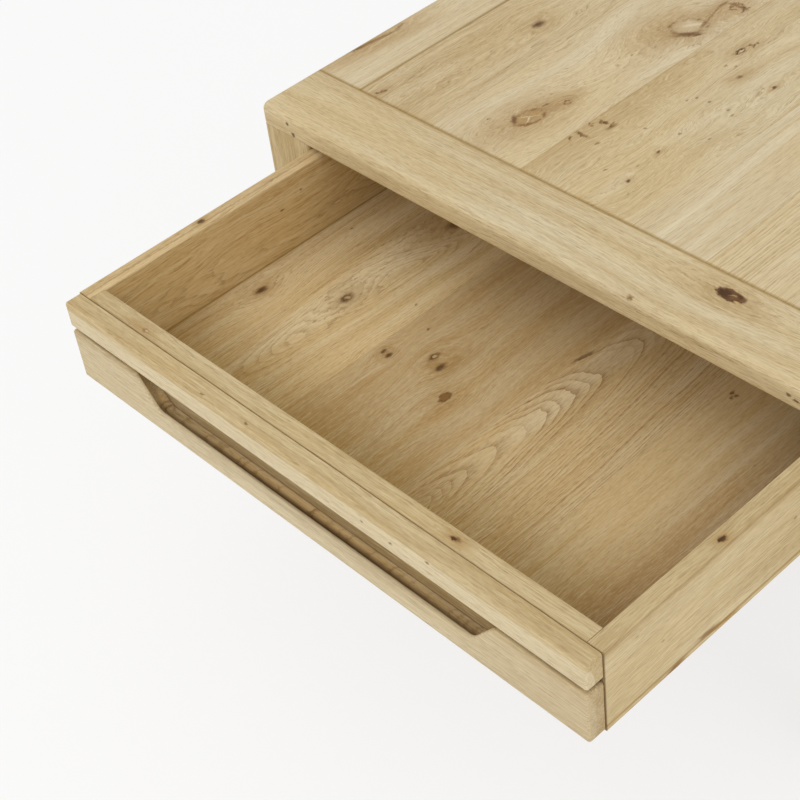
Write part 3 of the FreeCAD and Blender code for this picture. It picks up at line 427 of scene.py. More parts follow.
        early = add_node(tree, "ShaderNodeMath", {0: left.outputs[0], 1: YEAR_FADE}, operation="POWER")
        year = add_node(tree, "ShaderNodeTexWhiteNoise", {"W": index.outputs[0]}, noise_dimensions="1D")
        weight = add_node(tree, "ShaderNodeMapRange",
                          {"Value": year.outputs["Value"], 3: g.year_least, 4: 1.0})
        return add_node(tree, "ShaderNodeMath", {0: early.outputs[0], 1: weight.outputs[0]},
                        operation="MULTIPLY").outputs[0]

    def grow(self, tree: Tree, place: bpy.types.Node) -> Grain:
        """Lay the patterns of the wood.

        Args:
            tree: the material's nodes.
            place: the texture coordinates.

        Returns:
            The patterns.
        """
        g = self.growth
        # The board's own millimetres: x along the grain, y across it, z into the board.
        split = add_node(tree, "ShaderNodeSeparateXYZ", {0: place.outputs["Object"]})
        turned = add_node(tree, "ShaderNodeCombineXYZ",
                          {i: split.outputs[axis] for i, axis in enumerate(self.run.value)})
        board = add_node(tree, "ShaderNodeVectorMath", {0: turned.outputs[0], 1: (MM, MM, MM)},
                         operation="MULTIPLY").outputs[0]
        grown, shade, figure = self.glue(tree, board)
        # The grain wanders slowly and flows around knots, and its single fibres are uneven.
        wander = self.spindles(tree, grown, g.slow, 3.0)
        flow = add_node(tree, "ShaderNodeVectorMath",
                        {0: wander.outputs["Color"], 1: (0.0, 4 * g.wander, 4 * g.wander), 2: grown},
                        operation="MULTIPLY_ADD").outputs[0]
        spots, flow = self.set_marks(tree, board, grown, flow)
        fibre = self.spindles(tree, grown, g.fibre, 3.0, 0.6)
        swing = g.fibre_swing
        uneven = add_node(tree, "ShaderNodeVectorMath",
                          {0: fibre.outputs["Color"], 1: (0.0, swing, swing),
                           2: (0.0, -swing / 2, -swing / 2)},
                          operation="MULTIPLY_ADD")
        ringed = add_node(tree, "ShaderNodeVectorMath", {0: uneven.outputs[0], 1: flow}).outputs[0]
        lines = add_node(tree, "ShaderNodeMath", {0: self.lay_rings(tree, ringed, spots), 1: figure},
                         operation="MULTIPLY").outputs[0]
        # Broad bands of cream and tan, slower golden patches, long streaks and short dashes of pores.
        return Grain(
            band=self.spindles(tree, flow, g.band, 3.0).outputs["Fac"],
            patch=self.spindles(tree, grown, g.patch, 1.0).outputs["Fac"],
            lines=lines,
            streak=self.spindles(tree, ringed, g.streak, 3.0, 0.6).outputs["Fac"],
            bristle=self.spindles(tree, ringed, g.bristle, 2.0, 0.6).outputs["Fac"],
            shade=shade,
            spots=spots,
        )

    def end_grain(self, tree: Tree, place: bpy.types.Node) -> Socket:
        """Tell where the end grain shows, which drinks more oil and is darker than the sides of a board.

        Args:
            tree: the material's nodes.
            place: the texture coordinates.

        Returns:
            The share of its shade.
        """
        normal = add_node(tree, "ShaderNodeSeparateXYZ", {0: place.outputs["Normal"]})
        facing = add_node(tree, "ShaderNodeMath", {0: normal.outputs[self.run.value[0]]},
                          operation="ABSOLUTE")
        end = add_node(tree, "ShaderNodeMapRange",
                       {"Value": facing.outputs[0], 1: 0.75, 2: 1.0, 3: 0.0, 4: self.end_shade},
                       interpolation_type="SMOOTHSTEP")
        return end.outputs[0]

    def paint(self, tree: Tree, place: bpy.types.Node, grain: Grain) -> Socket:
        """Paint the wood's colour in coats, each a share and a colour.

        Args:
            tree: the material's nodes.
            place: the texture coordinates.
            grain: the patterns.

        Returns:
            The colour.
        """
        g, t, pale = self.growth, self.tone, Stain.BLEACH.value
        band = add_node(tree, "ShaderNodeMapRange", {"Value": grain.band, 1: 0.36, 2: 0.64},
                        interpolation_type="SMOOTHSTEP")
        patch = add_node(tree, "ShaderNodeMapRange", {"Value": grain.patch, 1: 0.4, 2: 0.7, 3: 0.0, 4: 0.7},
                         interpolation_type="SMOOTHSTEP")
        coats: list[tuple[Socket, str]] = [(patch.outputs[0], t.gold)]
        if grain.shade is not None:
            coats.append((grain.shade, t.ring))
        coats.append((grain.lines, t.ring))
        coats += [(spot.cover, spot.mark.stain.value) for spot in grain.spots if spot.mark.under]
        # The darker and the paler side of each streak and dash.
        for noise, far, most, tint in ((grain.streak, 0.75, g.streak_show, t.ring),
                                       (grain.streak, 0.28, g.streak_show, pale),
                                       (grain.bristle, 0.78, g.bristle_show, t.pore),
                                       (grain.bristle, 0.25, 0.7 * g.bristle_show, pale)):
            share = add_node(tree, "ShaderNodeMapRange", {"Value": noise, 1: 0.5, 2: far, 3: 0.0, 4: most})
            coats.append((share.outputs[0], tint))
        # Pores are darkest where a year starts.
        pore = add_node(tree, "ShaderNodeMapRange", {"Value": grain.bristle, 1: 0.5, 2: 0.68},
                        interpolation_type="SMOOTHSTEP")
        early_pore = add_node(tree, "ShaderNodeMath", {0: pore.outputs[0], 1: grain.lines},
                              operation="MULTIPLY")
        coats.append((early_pore.outputs[0], t.pore))
        coats += [(spot.cover, spot.mark.stain.value) for spot in grain.spots if not spot.mark.under]
        coats.append((self.end_grain(tree, place), t.ring))
        colour = add_node(tree, "ShaderNodeMix", {0: band.outputs[0], 6: linear(t.pale), 7: linear(t.tan)},
                          data_type="RGBA")
        for share, tint in coats:
            colour = add_node(tree, "ShaderNodeMix", {0: share, 6: colour.outputs[2], 7: linear(tint)},
                              data_type="RGBA")
        return colour.outputs[2]

    def build(self) -> bpy.types.Material:
        """Build the node material.

        Returns:
            The material, named for the wood.
        """
        material = blank_material(self.name)
        tree = material.node_tree
        place = add_node(tree, "ShaderNodeTexCoord")
        grain = self.grow(tree, place)
        colour = self.paint(tree, place, grain)
        shiny, dull = self.roughness
        gloss = add_node(tree, "ShaderNodeMapRange",
                         {"Value": grain.streak, 1: 0.3, 2: 0.7, 3: shiny, 4: dull})
        # The dashes of pores lie lower than the wood between them.
        relief = add_node(tree, "ShaderNodeMath", {0: grain.bristle, 1: -0.8, 2: grain.streak},
                          operation="MULTIPLY_ADD")
        bump = add_node(tree, "ShaderNodeBump",
                        {"Strength": 0.3, "Distance": 0.0005, "Height": relief.outputs[0]})
        shader = add_node(tree, "ShaderNodeBsdfPrincipled",
                          {"Base Color": colour, "Roughness": gloss.outputs[0], "IOR": 1.48,
                           "Specular IOR Level": 0.25, "Normal": bump.outputs[0]})
        add_node(tree, "ShaderNodeOutputMaterial", {"Surface": shader.outputs[0]})
        return material


@dataclass(frozen=True)
class ZincSteel:
    """Zinc-plated steel of screws and brackets: a pale grey metal with a faint cloudy spangle."""

    name: str = "zinc plated steel"
    bright: str = "#c3c6c9"
    dull: str = "#a4a8ab"
    spangle: float = 3.0
    roughness: tuple[float, float] = (0.28, 0.42)

    def build(self) -> bpy.types.Material:
        """Build the node material.

        Returns:
            The material, named for the metal.
        """
        material = blank_material(self.name)
        tree = material.node_tree
        place = add_node(tree, "ShaderNodeTexCoord")
        cloud = add_node(tree, "ShaderNodeTexNoise",
                         {"Vector": place.outputs["Object"], "Scale": MM / self.spangle,
                          "Detail": 3.0}).outputs["Fac"]
        share = add_node(tree, "ShaderNodeMapRange", {"Value": cloud, 1: 0.35, 2: 0.65})
        colour = add_node(tree, "ShaderNodeMix",
                          {0: share.outputs[0], 6: linear(self.bright), 7: linear(self.dull)},
                          data_type="RGBA")
        gloss = add_node(tree, "ShaderNodeMapRange", {"Value": cloud, 1: 0.3, 2: 0.7, 3: self.roughness[0],
                                                      4: self.roughness[1]})
        bump = add_node(tree, "ShaderNodeBump", {"Strength": 0.1, "Distance": 0.0002, "Height": cloud})
        shader = add_node(tree, "ShaderNodeBsdfPrincipled",
                          {"Base Color": colour.outputs[2], "Metallic": 1.0, "Roughness": gloss.outputs[0],
                           "Normal": bump.outputs[0]})
        add_node(tree, "ShaderNodeOutputMaterial", {"Surface": shader.outputs[0]})
        return material


@dataclass(frozen=True)
class GlidePlastic:
    """Moulded polyethylene of the glides: brown, waxy, with a fine spark-eroded grain and paler scuffs."""

    name: str = "brown moulded polyethylene"
    colour: str = "#4a3a2b"
    worn: str = "#5d4c3a"
    grit: float = 0.8
    scuff: float = 14.0
    roughness: tuple[float, float] = (0.42, 0.56)

    def build(self) -> bpy.types.Material:
        """Build the node material.

        Returns:
            The material, named for the plastic.
        """
        material = blank_material(self.name)
        tree = material.node_tree
        place = add_node(tree, "ShaderNodeTexCoord")
        grit = add_node(tree, "ShaderNodeTexNoise",
                        {"Vector": place.outputs["Object"], "Scale": MM / self.grit,
                                                     "Detail": 2.0})
        scuff = add_node(tree, "ShaderNodeTexNoise",
                         {"Vector": place.outputs["Object"], "Scale": MM / self.scuff,
                          "Detail": 3.0}).outputs["Fac"]
        share = add_node(tree, "ShaderNodeMapRange", {"Value": scuff, 1: 0.5, 2: 0.75})
        colour = add_node(tree, "ShaderNodeMix",
                          {0: share.outputs[0], 6: linear(self.colour), 7: linear(self.worn)},
                          data_type="RGBA")
        bump = add_node(tree, "ShaderNodeBump",
                        {"Strength": 0.2, "Distance": 0.0002, "Height": grit.outputs["Fac"]})
        gloss = add_node(tree, "ShaderNodeMapRange", {"Value": scuff, 1: 0.3, 2: 0.7, 3: self.roughness[0],
                                                      4: self.roughness[1]})
        shader = add_node(tree, "ShaderNodeBsdfPrincipled",
                          {"Base Color": colour.outputs[2], "Roughness": gloss.outputs[0], "IOR": 1.51,
                           "Normal": bump.outputs[0]})
        add_node(tree, "ShaderNodeOutputMaterial", {"Surface": shader.outputs[0]})
        return material


def dress(node: str, material: bpy.types.Material) -> None:
    """Give a CAD node one material.

    Args:
        node: the node's name.
        material: what it is made of.
    """
    slots = NODES[node].data.materials
    slots.clear()
    slots.append(material)
    LOG.info("%s: %s", node, material.name)


def halo(along: float, across: float, length: float, width: float, turn: float = 0.0, strength: float = 0.4,
         pull: float = 0.0) -> Mark:
    """Make the golden halo that surrounds a knot, under the fibres."""
    return Mark(along, across, length, width, Stain.HALO, turn, 0.95, strength, pull, under=True)


def knot(along: float, across: float, size: float, turn: float = 0.0, stretch: float = 1.5,
         heart: bool = False, pull: float = 1.0) -> tuple[Mark, ...]:
    """Make one tight knot with its halo.

    Args:
        along: its place along the grain.
        across: its place across the grain.
        size: half its width across the grain.
        turn: its slant in degrees.
        stretch: its length over its width.
        heart: whether it has a pale middle.
        pull: how strongly the rings close up around it.

    Returns:
        The marks that draw it, from the halo inwards.
    """
    marks = [
        halo(along, across, 2.8 * size * stretch, 2.6 * size, turn, 0.5, 0.5 * size * pull),
        Mark(along, across, 1.1 * size * stretch, 1.05 * size, Stain.RIM, turn, 0.5, 0.7),
        Mark(along - 0.2 * size, across - 0.1 * size, 0.7 * size * stretch, 0.65 * size, Stain.KNOT, turn,
             0.6, 0.64),
    ]
    if heart:
        marks.append(Mark(along + 0.2 * size, across, 0.42 * size * stretch, 0.36 * size, Stain.HEART,
                          turn + 20.0, 0.5, 0.8))
    return tuple(marks)


def pin(along: float, across: float, size: float = 1.3, stretch: float = 1.5, strength: float = 0.75) -> Mark:
    """Make one pin knot or speck."""
    return Mark(along, across, size * stretch, size, Stain.RIM, 0.0, 0.6, strength)


def fleck(along: float, across: float, length: float, width: float, turn: float = 0.0,
          stain: Stain = Stain.FLECK) -> Mark:
    """Make one brown fleck."""
    return Mark(along, across, length, width, stain, turn, 0.7, 0.8)


def burr(along: float, across: float, length: float, width: float, count: int, seed: int) -> tuple[Mark, ...]:
    """Make a cluster of torn dark specks.

    Args:
        along: its place along the grain.
        across: its place across the grain.
        length: half its length.
        width: half its width.
        count: how many specks it has.
        seed: the start of its random numbers.

    Returns:
        The specks.
    """
    draw = random.Random(seed)
    return tuple(fleck(along + draw.uniform(-length, length), across + draw.uniform(-width, width),
                       draw.uniform(1.2, 3.0), draw.uniform(0.8, 1.5), draw.uniform(-60.0, 60.0),
                       draw.choice((Stain.FLECK, Stain.FLECK, Stain.RIM)))
                 for _ in range(count))


def joint_line(across: float, strength: float = 0.6, width: float = 2.0) -> Mark:
    """Make the dark line that oil and dust leave in the groove along a board's edge."""
    return Mark(0.0, across, ENDLESS, width, Stain.DUST_AND_SHADE, 0.0, 0.8, strength, ragged=False)


def end_line(along: float, strength: float = 0.6, width: float = 2.0) -> Mark:
    """Make the dark line in the groove at a board's end."""
    return Mark(along, 0.0, width, ENDLESS, Stain.DUST_AND_SHADE, 0.0, 0.8, strength, ragged=False)


def wild_marks(node: str, run: Run, count: int, seed: int) -> tuple[Mark, ...]:
    """Scatter small knots over a board that the photograph doesn't show.

    Args:
        node: the board's CAD node.
        run: how its grain runs.
        count: how many knots it gets.
        seed: the start of its random numbers.

    Returns:
        The marks, in the board's millimetres.
    """
    low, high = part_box(node)
    order = run.value
    draw = random.Random(seed)
    marks: list[Mark] = []
    for _ in range(count):
        along = draw.uniform(low[order[0]], high[order[0]]) * MM
        across = draw.uniform(low[order[1]], high[order[1]]) * MM
        size = draw.choice((1.2, 1.6, 2.2, 3.2, 4.6))
        if size < 2.0:
            marks.append(pin(along, across, size))
        else:
            marks.extend(knot(along, across, size, draw.uniform(-12.0, 12.0), draw.uniform(1.3, 1.9),
                              size > 3.0))
    return tuple(marks)


@dataclass
class TableTop:
    """The framed top: boards across the ends and along the edges, staves between."""

    end_joint: float = 520.0        # where the end boards meet the rest, on both sides of the middle
    edge_joint: float = 332.0       # where the edge boards meet the staves
    front_face: float = -600.0
    stave_edges: tuple[float, ...] = (-332.0, -226.4, -106.2, 35.2, 119.5, 225.8, 332.0)

    def end_knot(self, along: float, length: float, deep: float, depth: float, stain: Stain,
                 soft: float = 0.4) -> Mark:
        """Make a small knot in the front face of the front end board."""
        return Mark(along, self.front_face, length, 8.0, stain, 0.0, soft, 0.8, deep=deep, depth=depth)

    def front_end(self) -> Wood:
        """The board across the front end, with its large dark knot.

        Returns:
            Its wood.
        """
        marks = (
            halo(164.0, -541.8, 42.0, 16.0, 0.0, 0.5, 4.0),
            Mark(165.0, -541.8, 15.0, 7.2, Stain.RIM, 0.0, 0.14, 0.9),
            Mark(165.0, -541.8, 16.0, 7.8, Stain.KNOT, 0.0, 0.14, 0.9, hollow=0.5),
            Mark(159.0, -542.5, 7.0, 4.8, Stain.KNOT, 0.0, 0.5, 0.9),
            Mark(167.0, -541.0, 4.0, 0.8, Stain.HEART, 30.0, 0.6, 0.5),
            Mark(175.5, -546.0, 3.4, 1.4, Stain.HEART, 0.0, 0.4, 0.9),
            self.end_knot(99.0, 3.0, 448.5, 1.6, Stain.FLECK, 0.5),
            self.end_knot(-357.0, 2.0, 441.0, 2.0, Stain.KNOT),
            self.end_knot(-350.0, 2.4, 430.5, 2.2, Stain.KNOT),
            self.end_knot(271.0, 2.4, 438.0, 1.6, Stain.RIM),
            self.end_knot(279.0, 3.4, 435.0, 1.6, Stain.RIM), joint_line(-self.end_joint),
        )
        return Wood("oiled wild oak, front end board", Run.SIDE_TO_SIDE, FAIR,
                    Growth(pith=(0.0, -820.0, 300.0), turn=0.4, ring=2.3, wander=2.5, bristle_show=0.46),
                    marks,
                    seed=1.0)

    def rear_end(self) -> Wood:
        """The board across the rear end, cut from the same tree as the front one.

        Returns:
            Its wood.
        """
        marks = (*wild_marks("top_rear_end_board", Run.SIDE_TO_SIDE, 4, 81), joint_line(self.end_joint))
        return replace(self.front_end(), name="oiled wild oak, rear end board", seed=8.0, marks=marks)

    def edge_grooves(self, joint: float) -> tuple[Mark, ...]:
        """The dark lines on an edge board, along its glued edge and at its two ends."""
        return (joint_line(joint), end_line(-self.end_joint), end_line(self.end_joint))

    def left_edge(self) -> Wood:
        """The left edge board, with torn brown wood along its outer edge near the front end.

        Returns:
            Its wood.
        """
        torn = (halo(-442.0, -391.0, 62.0, 15.0, 3.0, 0.6, 5.0), halo(-425.0, -374.0, 80.0, 8.0, 9.0, 0.35),
                Mark(-456.0, -391.0, 17.0, 2.2, Stain.FLECK, 5.0, 0.8, 0.75),
                Mark(-429.0, -387.0, 15.0, 1.8, Stain.FLECK, 4.0, 0.8, 0.65),
                Mark(-470.0, -393.5, 8.0, 1.8, Stain.RIM, 12.0, 0.8, 0.6),
                Mark(-409.0, -388.5, 6.0, 1.6, Stain.RIM, -8.0, 0.8, 0.6))
        return Wood("oiled wild oak, left edge board", Run.END_TO_END, CREAM,
                    Growth(pith=(0.0, -640.0, 330.0), turn=0.4, ring=2.4, wander=3.0),
                    (*torn, *wild_marks("top_left_edge_board", Run.END_TO_END, 3, 99),
                     *self.edge_grooves(-self.edge_joint)), seed=9.0)

    def right_edge(self) -> Wood:
        """The right edge board.

        Returns:
            Its wood.
        """
        return Wood("oiled wild oak, right edge board", Run.END_TO_END, FAIR,
                    Growth(pith=(0.0, 640.0, 330.0), turn=0.4, ring=2.4, wander=3.0),
                    (*wild_marks("top_right_edge_board", Run.END_TO_END, 3, 110),
                     *self.edge_grooves(self.edge_joint)), seed=10.0)

    def grooves(self, number: int) -> tuple[Mark, ...]:
        """The dark lines around one stave.

        Args:
            number: the stave, counted from the left.

        Returns:
            Lines at its two ends, and fainter ones along its edges unless an edge board lies there.
        """
        low, high = self.stave_edges[number - 1], self.stave_edges[number]
        return (end_line(-self.end_joint), end_line(self.end_joint),
                joint_line(low) if number == 1 else joint_line(low, 0.3, 0.6),
                joint_line(high) if number == 6 else joint_line(high, 0.2, 0.6))

    def stave_1(self) -> Wood:
        """The first stave from the left, with a tight knot and torn specks at its front corner.

        Returns:
            Its wood.
        """
        marks = (*knot(-316.3, -270.9, 5.0), halo(-509.0, -311.0, 12.0, 6.0),
                 fleck(-513.0, -313.4, 3.2, 1.4, 30.0, Stain.RIM), fleck(-508.5, -311.0, 2.4, 1.3, -40.0),
                 fleck(-505.0, -309.4, 2.8, 1.4, 20.0, Stain.RIM), *knot(176.0, -287.0, 4.4),
                 Mark(-215.0, -275.0, 90.0, 60.0, Stain.BLEACH, 0.0, 1.0, 0.35, under=True), *self.grooves(1))
        return Wood("oiled wild oak, stave 1", Run.END_TO_END, TAWNY,
                    Growth(pith=(0.0, -460.0, 330.0), turn=-0.6, ring=2.4, wander=9.0, ring_show=0.65), marks,
                    seed=2.0)

    def stave_2(self) -> Wood:
        """The second stave, with two large grown-over knots.

        Returns:
            Its wood.
        """
        marks = (
            # A large grown-over knot with a broken rim, and a small one beside it.
            halo(-452.0, -160.0, 48.0, 25.0, 8.0, 0.66, 6.0),
            Mark(-449.0, -159.0, 18.0, 10.5, Stain.HALO, 12.0, 0.6, 0.38),
            Mark(-449.0, -159.0, 20.0, 12.0, Stain.FLECK, 12.0, 0.15, 0.8, hollow=0.28),
            Mark(-463.0, -168.0, 8.0, 2.4, Stain.RIM, -42.0, 0.7, 0.85),
            Mark(-460.0, -152.0, 8.0, 1.8, Stain.FLECK, 30.0, 0.7, 0.75),
            fleck(-449.0, -160.0, 9.0, 0.7, 38.0, Stain.SAP),
            fleck(-454.0, -157.0, 7.0, 0.7, -30.0, Stain.SAP),
            halo(-420.0, -155.0, 30.0, 8.0, 10.0, 0.4), fleck(-424.0, -161.0, 4.0, 1.4, 10.0, Stain.RIM),
            Mark(-407.0, -147.0, 5.0, 4.0, Stain.RIM, 0.0, 0.25, 0.9, pull=1.5, hollow=0.5),
            halo(-407.0, -147.0, 12.0, 9.0, 0.0, 0.5),
            # A larger one with a pale heart, a dark lower edge and a crack that runs off it.
            halo(-232.0, -146.0, 52.0, 29.0, 20.0, 0.68, 8.0),
            Mark(-225.0, -142.0, 18.0, 12.0, Stain.SAP, 30.0, 0.6, 0.36),
            Mark(-227.0, -142.0, 23.0, 16.0, Stain.FLECK, 35.0, 0.15, 0.75, hollow=0.25),
            Mark(-240.0, -133.0, 13.0, 3.6, Stain.RIM, 42.0, 0.8, 0.85),
            fleck(-234.0, -124.0, 5.0, 2.0, 20.0, Stain.RIM),
            fleck(-222.0, -140.0, 10.0, 2.4, 38.0, Stain.SAP),
            Mark(-215.0, -131.5, 8.0, 1.5, Stain.FLECK, -14.0, 0.8, 0.7),
            Mark(-201.0, -135.0, 7.0, 1.1, Stain.FLECK, -18.0, 0.8, 0.6),
            Mark(-187.0, -138.5, 7.0, 1.1, Stain.FLECK, -10.0, 0.8, 0.6),
            Mark(-172.0, -141.0, 7.0, 1.7, Stain.FLECK, 4.0, 0.8, 0.7),
            halo(-195.0, -137.0, 44.0, 9.0, -12.0, 0.4),
            halo(-166.0, -128.0, 22.0, 16.0, 0.0, 0.55),
            Mark(-165.0, -130.0, 3.0, 7.0, Stain.FLECK, 0.0, 0.6, 0.75),
            Mark(-165.5, -118.0, 3.0, 5.0, Stain.RIM, 0.0, 0.6, 0.75),
            *burr(-166.0, -126.0, 9.0, 12.0, 12, 5),
            pin(-477.0, -189.0, 1.2),
            # Beyond the picture.
            *knot(246.0, -171.0, 6.5, 8.0, 1.6, True, 1.4), *burr(268.0, -160.0, 9.0, 5.0, 6, 12),
            *knot(412.0, -131.0, 3.0), *self.grooves(2),
        )
        return Wood("oiled wild oak, stave 2", Run.END_TO_END, CREAM,
                    Growth(pith=(0.0, -330.0, 340.0), turn=0.5, ring=2.6, wander=11.0, ring_show=0.6), marks,
                    seed=3.0)

    def stave_3(self) -> Wood:
        """The third stave, with a chain of torn specks along its golden edge and many pin knots.

        Returns:
            Its wood.
        """
        pins = ((-262.5, -64.8), (-256.9, -55.5), (-334.0, -55.7), (-325.0, -51.0), (-322.5, -36.3),
                (-323.0, -13.1), (-327.6, -4.7), (-371.2, 3.3), (-382.2, -24.4), (-395.0, -56.7),
                (-470.2, -41.7))
        marks = (
            # The golden edge of the stave, with a chain of torn specks in it.
            halo(-430.0, -100.0, 130.0, 20.0, 3.0, 0.36), halo(-250.0, -104.0, 160.0, 16.0, -2.0, 0.22),
            *burr(-453.0, -105.0, 3.0, 2.5, 3, 6), fleck(-440.3, -97.4, 7.0, 2.2, 90.0, Stain.FLECK),
            *burr(-440.0, -97.0, 3.0, 6.0, 4, 7),
            *burr(-422.0, -102.7, 2.6, 2.6, 3, 8), fleck(-410.7, -95.0, 6.0, 1.9, 88.0, Stain.FLECK),
            *burr(-411.0, -94.0, 3.0, 5.0, 4, 9),
            fleck(-413.0, -84.0, 6.5, 2.0, 5.0, Stain.FLECK), *burr(-413.0, -84.0, 6.0, 3.0, 3, 10),
            fleck(-442.2, -76.4, 3.0, 1.3),
            Mark(-231.9, -69.5, 7.0, 4.2, Stain.RIM, -8.0, 0.3, 0.95, pull=2.0, hollow=0.55),
            Mark(-232.5, -69.5, 6.2, 3.6, Stain.KNOT, -8.0, 0.3, 0.9, hollow=0.5),
            fleck(-232.0, -69.3, 1.8, 1.2, 0.0, Stain.SAP),
            halo(-226.0, -68.0, 22.0, 9.0, 6.0, 0.55), *burr(-215.3, -66.1, 5.0, 3.6, 5, 11),
            *knot(-265.0, -2.6, 2.0, pull=0.6), halo(-268.0, -41.0, 18.0, 8.0, 10.0, 0.5),
            Mark(-270.0, -41.0, 3.6, 2.2, Stain.RIM, 12.0, 0.6, 0.7, pull=1.0),
            *(pin(along, across, strength=0.6) for along, across in pins),
            *knot(-417.1, -21.0, 1.8, pull=0.6), *knot(-470.6, -13.3, 1.7, pull=0.6),
            Mark(-368.0, -24.0, 36.0, 9.0, Stain.SAP, 8.0, 0.9, 0.5, pull=2.5, under=True),
            Mark(-485.0, -19.0, 26.0, 8.0, Stain.SAP, 0.0, 0.9, 0.45, pull=2.0, under=True),
            *self.grooves(3),
        )
        return Wood("oiled wild oak, stave 3", Run.END_TO_END, FAIR,
                    Growth(pith=(0.0, 220.0, 360.0), turn=-0.5, ring=2.3, wander=12.0, ring_show=0.6), marks,
                    seed=4.0)

    def plain_stave(self, number: int, tone: Tone, growth: Growth, knots: int) -> Wood:
        """A stave with a few knots at random.

        Args:
            number: the stave, counted from the left.
            tone: its colours.
            growth: how it grew.
            knots: how many knots it has.

        Returns:
            Its wood.
        """
        marks = wild_marks(f"top_stave_{number}", Run.END_TO_END, knots, 10 * number + 1)
        return Wood(f"oiled wild oak, stave {number}", Run.END_TO_END, tone, growth,
                    marks + self.grooves(number), seed=number + 1.0)

    def dress(self) -> None:
        """Dress every board of the top."""
        fourth = Growth(pith=(0.0, -180.0, 320.0), turn=0.3, ring=2.5, wander=3.0)
        fifth = Growth(pith=(0.0, 480.0, 350.0), turn=-0.3, ring=4.6, wander=2.5, ring_show=1.0,
                       year_least=0.35)
        sixth = Growth(pith=(0.0, 285.0, 420.0), lean=1.6, ring=3.2, wander=5.0)
        boards = {
            "top_front_end_board": self.front_end(), "top_rear_end_board": self.rear_end(),
            "top_left_edge_board": self.left_edge(), "top_right_edge_board": self.right_edge(),
            "top_stave_1": self.stave_1(), "top_stave_2": self.stave_2(), "top_stave_3": self.stave_3(),
            "top_stave_4": self.plain_stave(4, CREAM, fourth, 3),
            "top_stave_5": self.plain_stave(5, CREAM, fifth, 4),
            "top_stave_6": self.plain_stave(6, FAIR, sixth, 5),
        }
        for node, wood in boards.items():
            dress(node, wood.build())


@dataclass
class Stand:
    """Legs, aprons, drawer rails, the divider and what the drawers run on."""

    lamella: float = 23.0

    def dress_legs(self) -> None:
        """Dress the legs, each glued up from three lamellas."""
        seed = 20.0
        for end in ("front", "rear"):
            for side in ("left", "right"):
                node = f"leg_{end}_{side}"
                low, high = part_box(node)
                middle = (low + high) * (MM / 2)
                seams = (Seam(low.x * MM + self.lamella, (310.0, 7.0, 40.0), 0.06),
                         Seam(low.x * MM + 2 * self.lamella, (170.0, -9.0, 55.0), -0.02))
                leg = Wood(f"oiled wild oak, {end} {side} leg", Run.POST, DUN,
                           Growth(pith=(0.0, middle.x - 190.0, middle.y + 60.0), turn=0.6, ring=2.5,
                                  wander=2.5),
                           wild_marks(node, Run.POST, 3, int(seed)), seams, seed)
                dress(node, leg.build())
                seed += 1.0

    def dress(self) -> None:
        """Dress every piece of the stand."""
        self.dress_legs()
        seed = 24.0
        for side in ("left", "right"):
            node = f"apron_{side}"
            apron = Wood(f"oiled wild oak, {side} apron", Run.UPRIGHT_LONG, FAIR,
                         Growth(pith=(0.0, 330.0, 200.0 if side == "left" else -200.0), lean=1.5, ring=4.4),
                         wild_marks(node, Run.UPRIGHT_LONG, 7, int(seed)), seed=seed)
            dress(node, apron.build())
            seed += 1.0
        for end in ("front", "rear"):
            node = f"drawer_rail_{end}"
            rail = Wood(f"oiled wild oak, {end} drawer rail", Run.SIDE_TO_SIDE, FAIR,
                        Growth(pith=(0.0, -900.0, 200.0), ring=3.8),
                        wild_marks(node, Run.SIDE_TO_SIDE, 2, int(seed)), seed=seed)
            dress(node, rail.build())
            seed += 1.0
        divider = Wood("oiled oak, centre divider", Run.UPRIGHT_CROSS, TAWNY,
                       Growth(pith=(0.0, 340.0, -90.0), lean=2.0, ring=4.6),
                       wild_marks("centre_divider", Run.UPRIGHT_CROSS, 4, int(seed)), seed=seed)
        dress("centre_divider", divider.build())
        # Runners, guides and stops: a dense plain hardwood, waxed so that the drawers slide.
        running = Wood("waxed beech, drawer runners", Run.END_TO_END, WAXED,
                       Growth(pith=(0.0, -700.0, 100.0), ring=2.6, wander=2.0, ring_show=0.3,
                              streak_show=0.3),
                       seed=seed + 1.0, roughness=(0.34, 0.48)).build()
        for end in ("front", "rear"):
            for side in ("left", "right"):
                for piece in ("runner", "guide", "closing_stop"):
                    dress(f"{piece}_{end}_{side}", running)


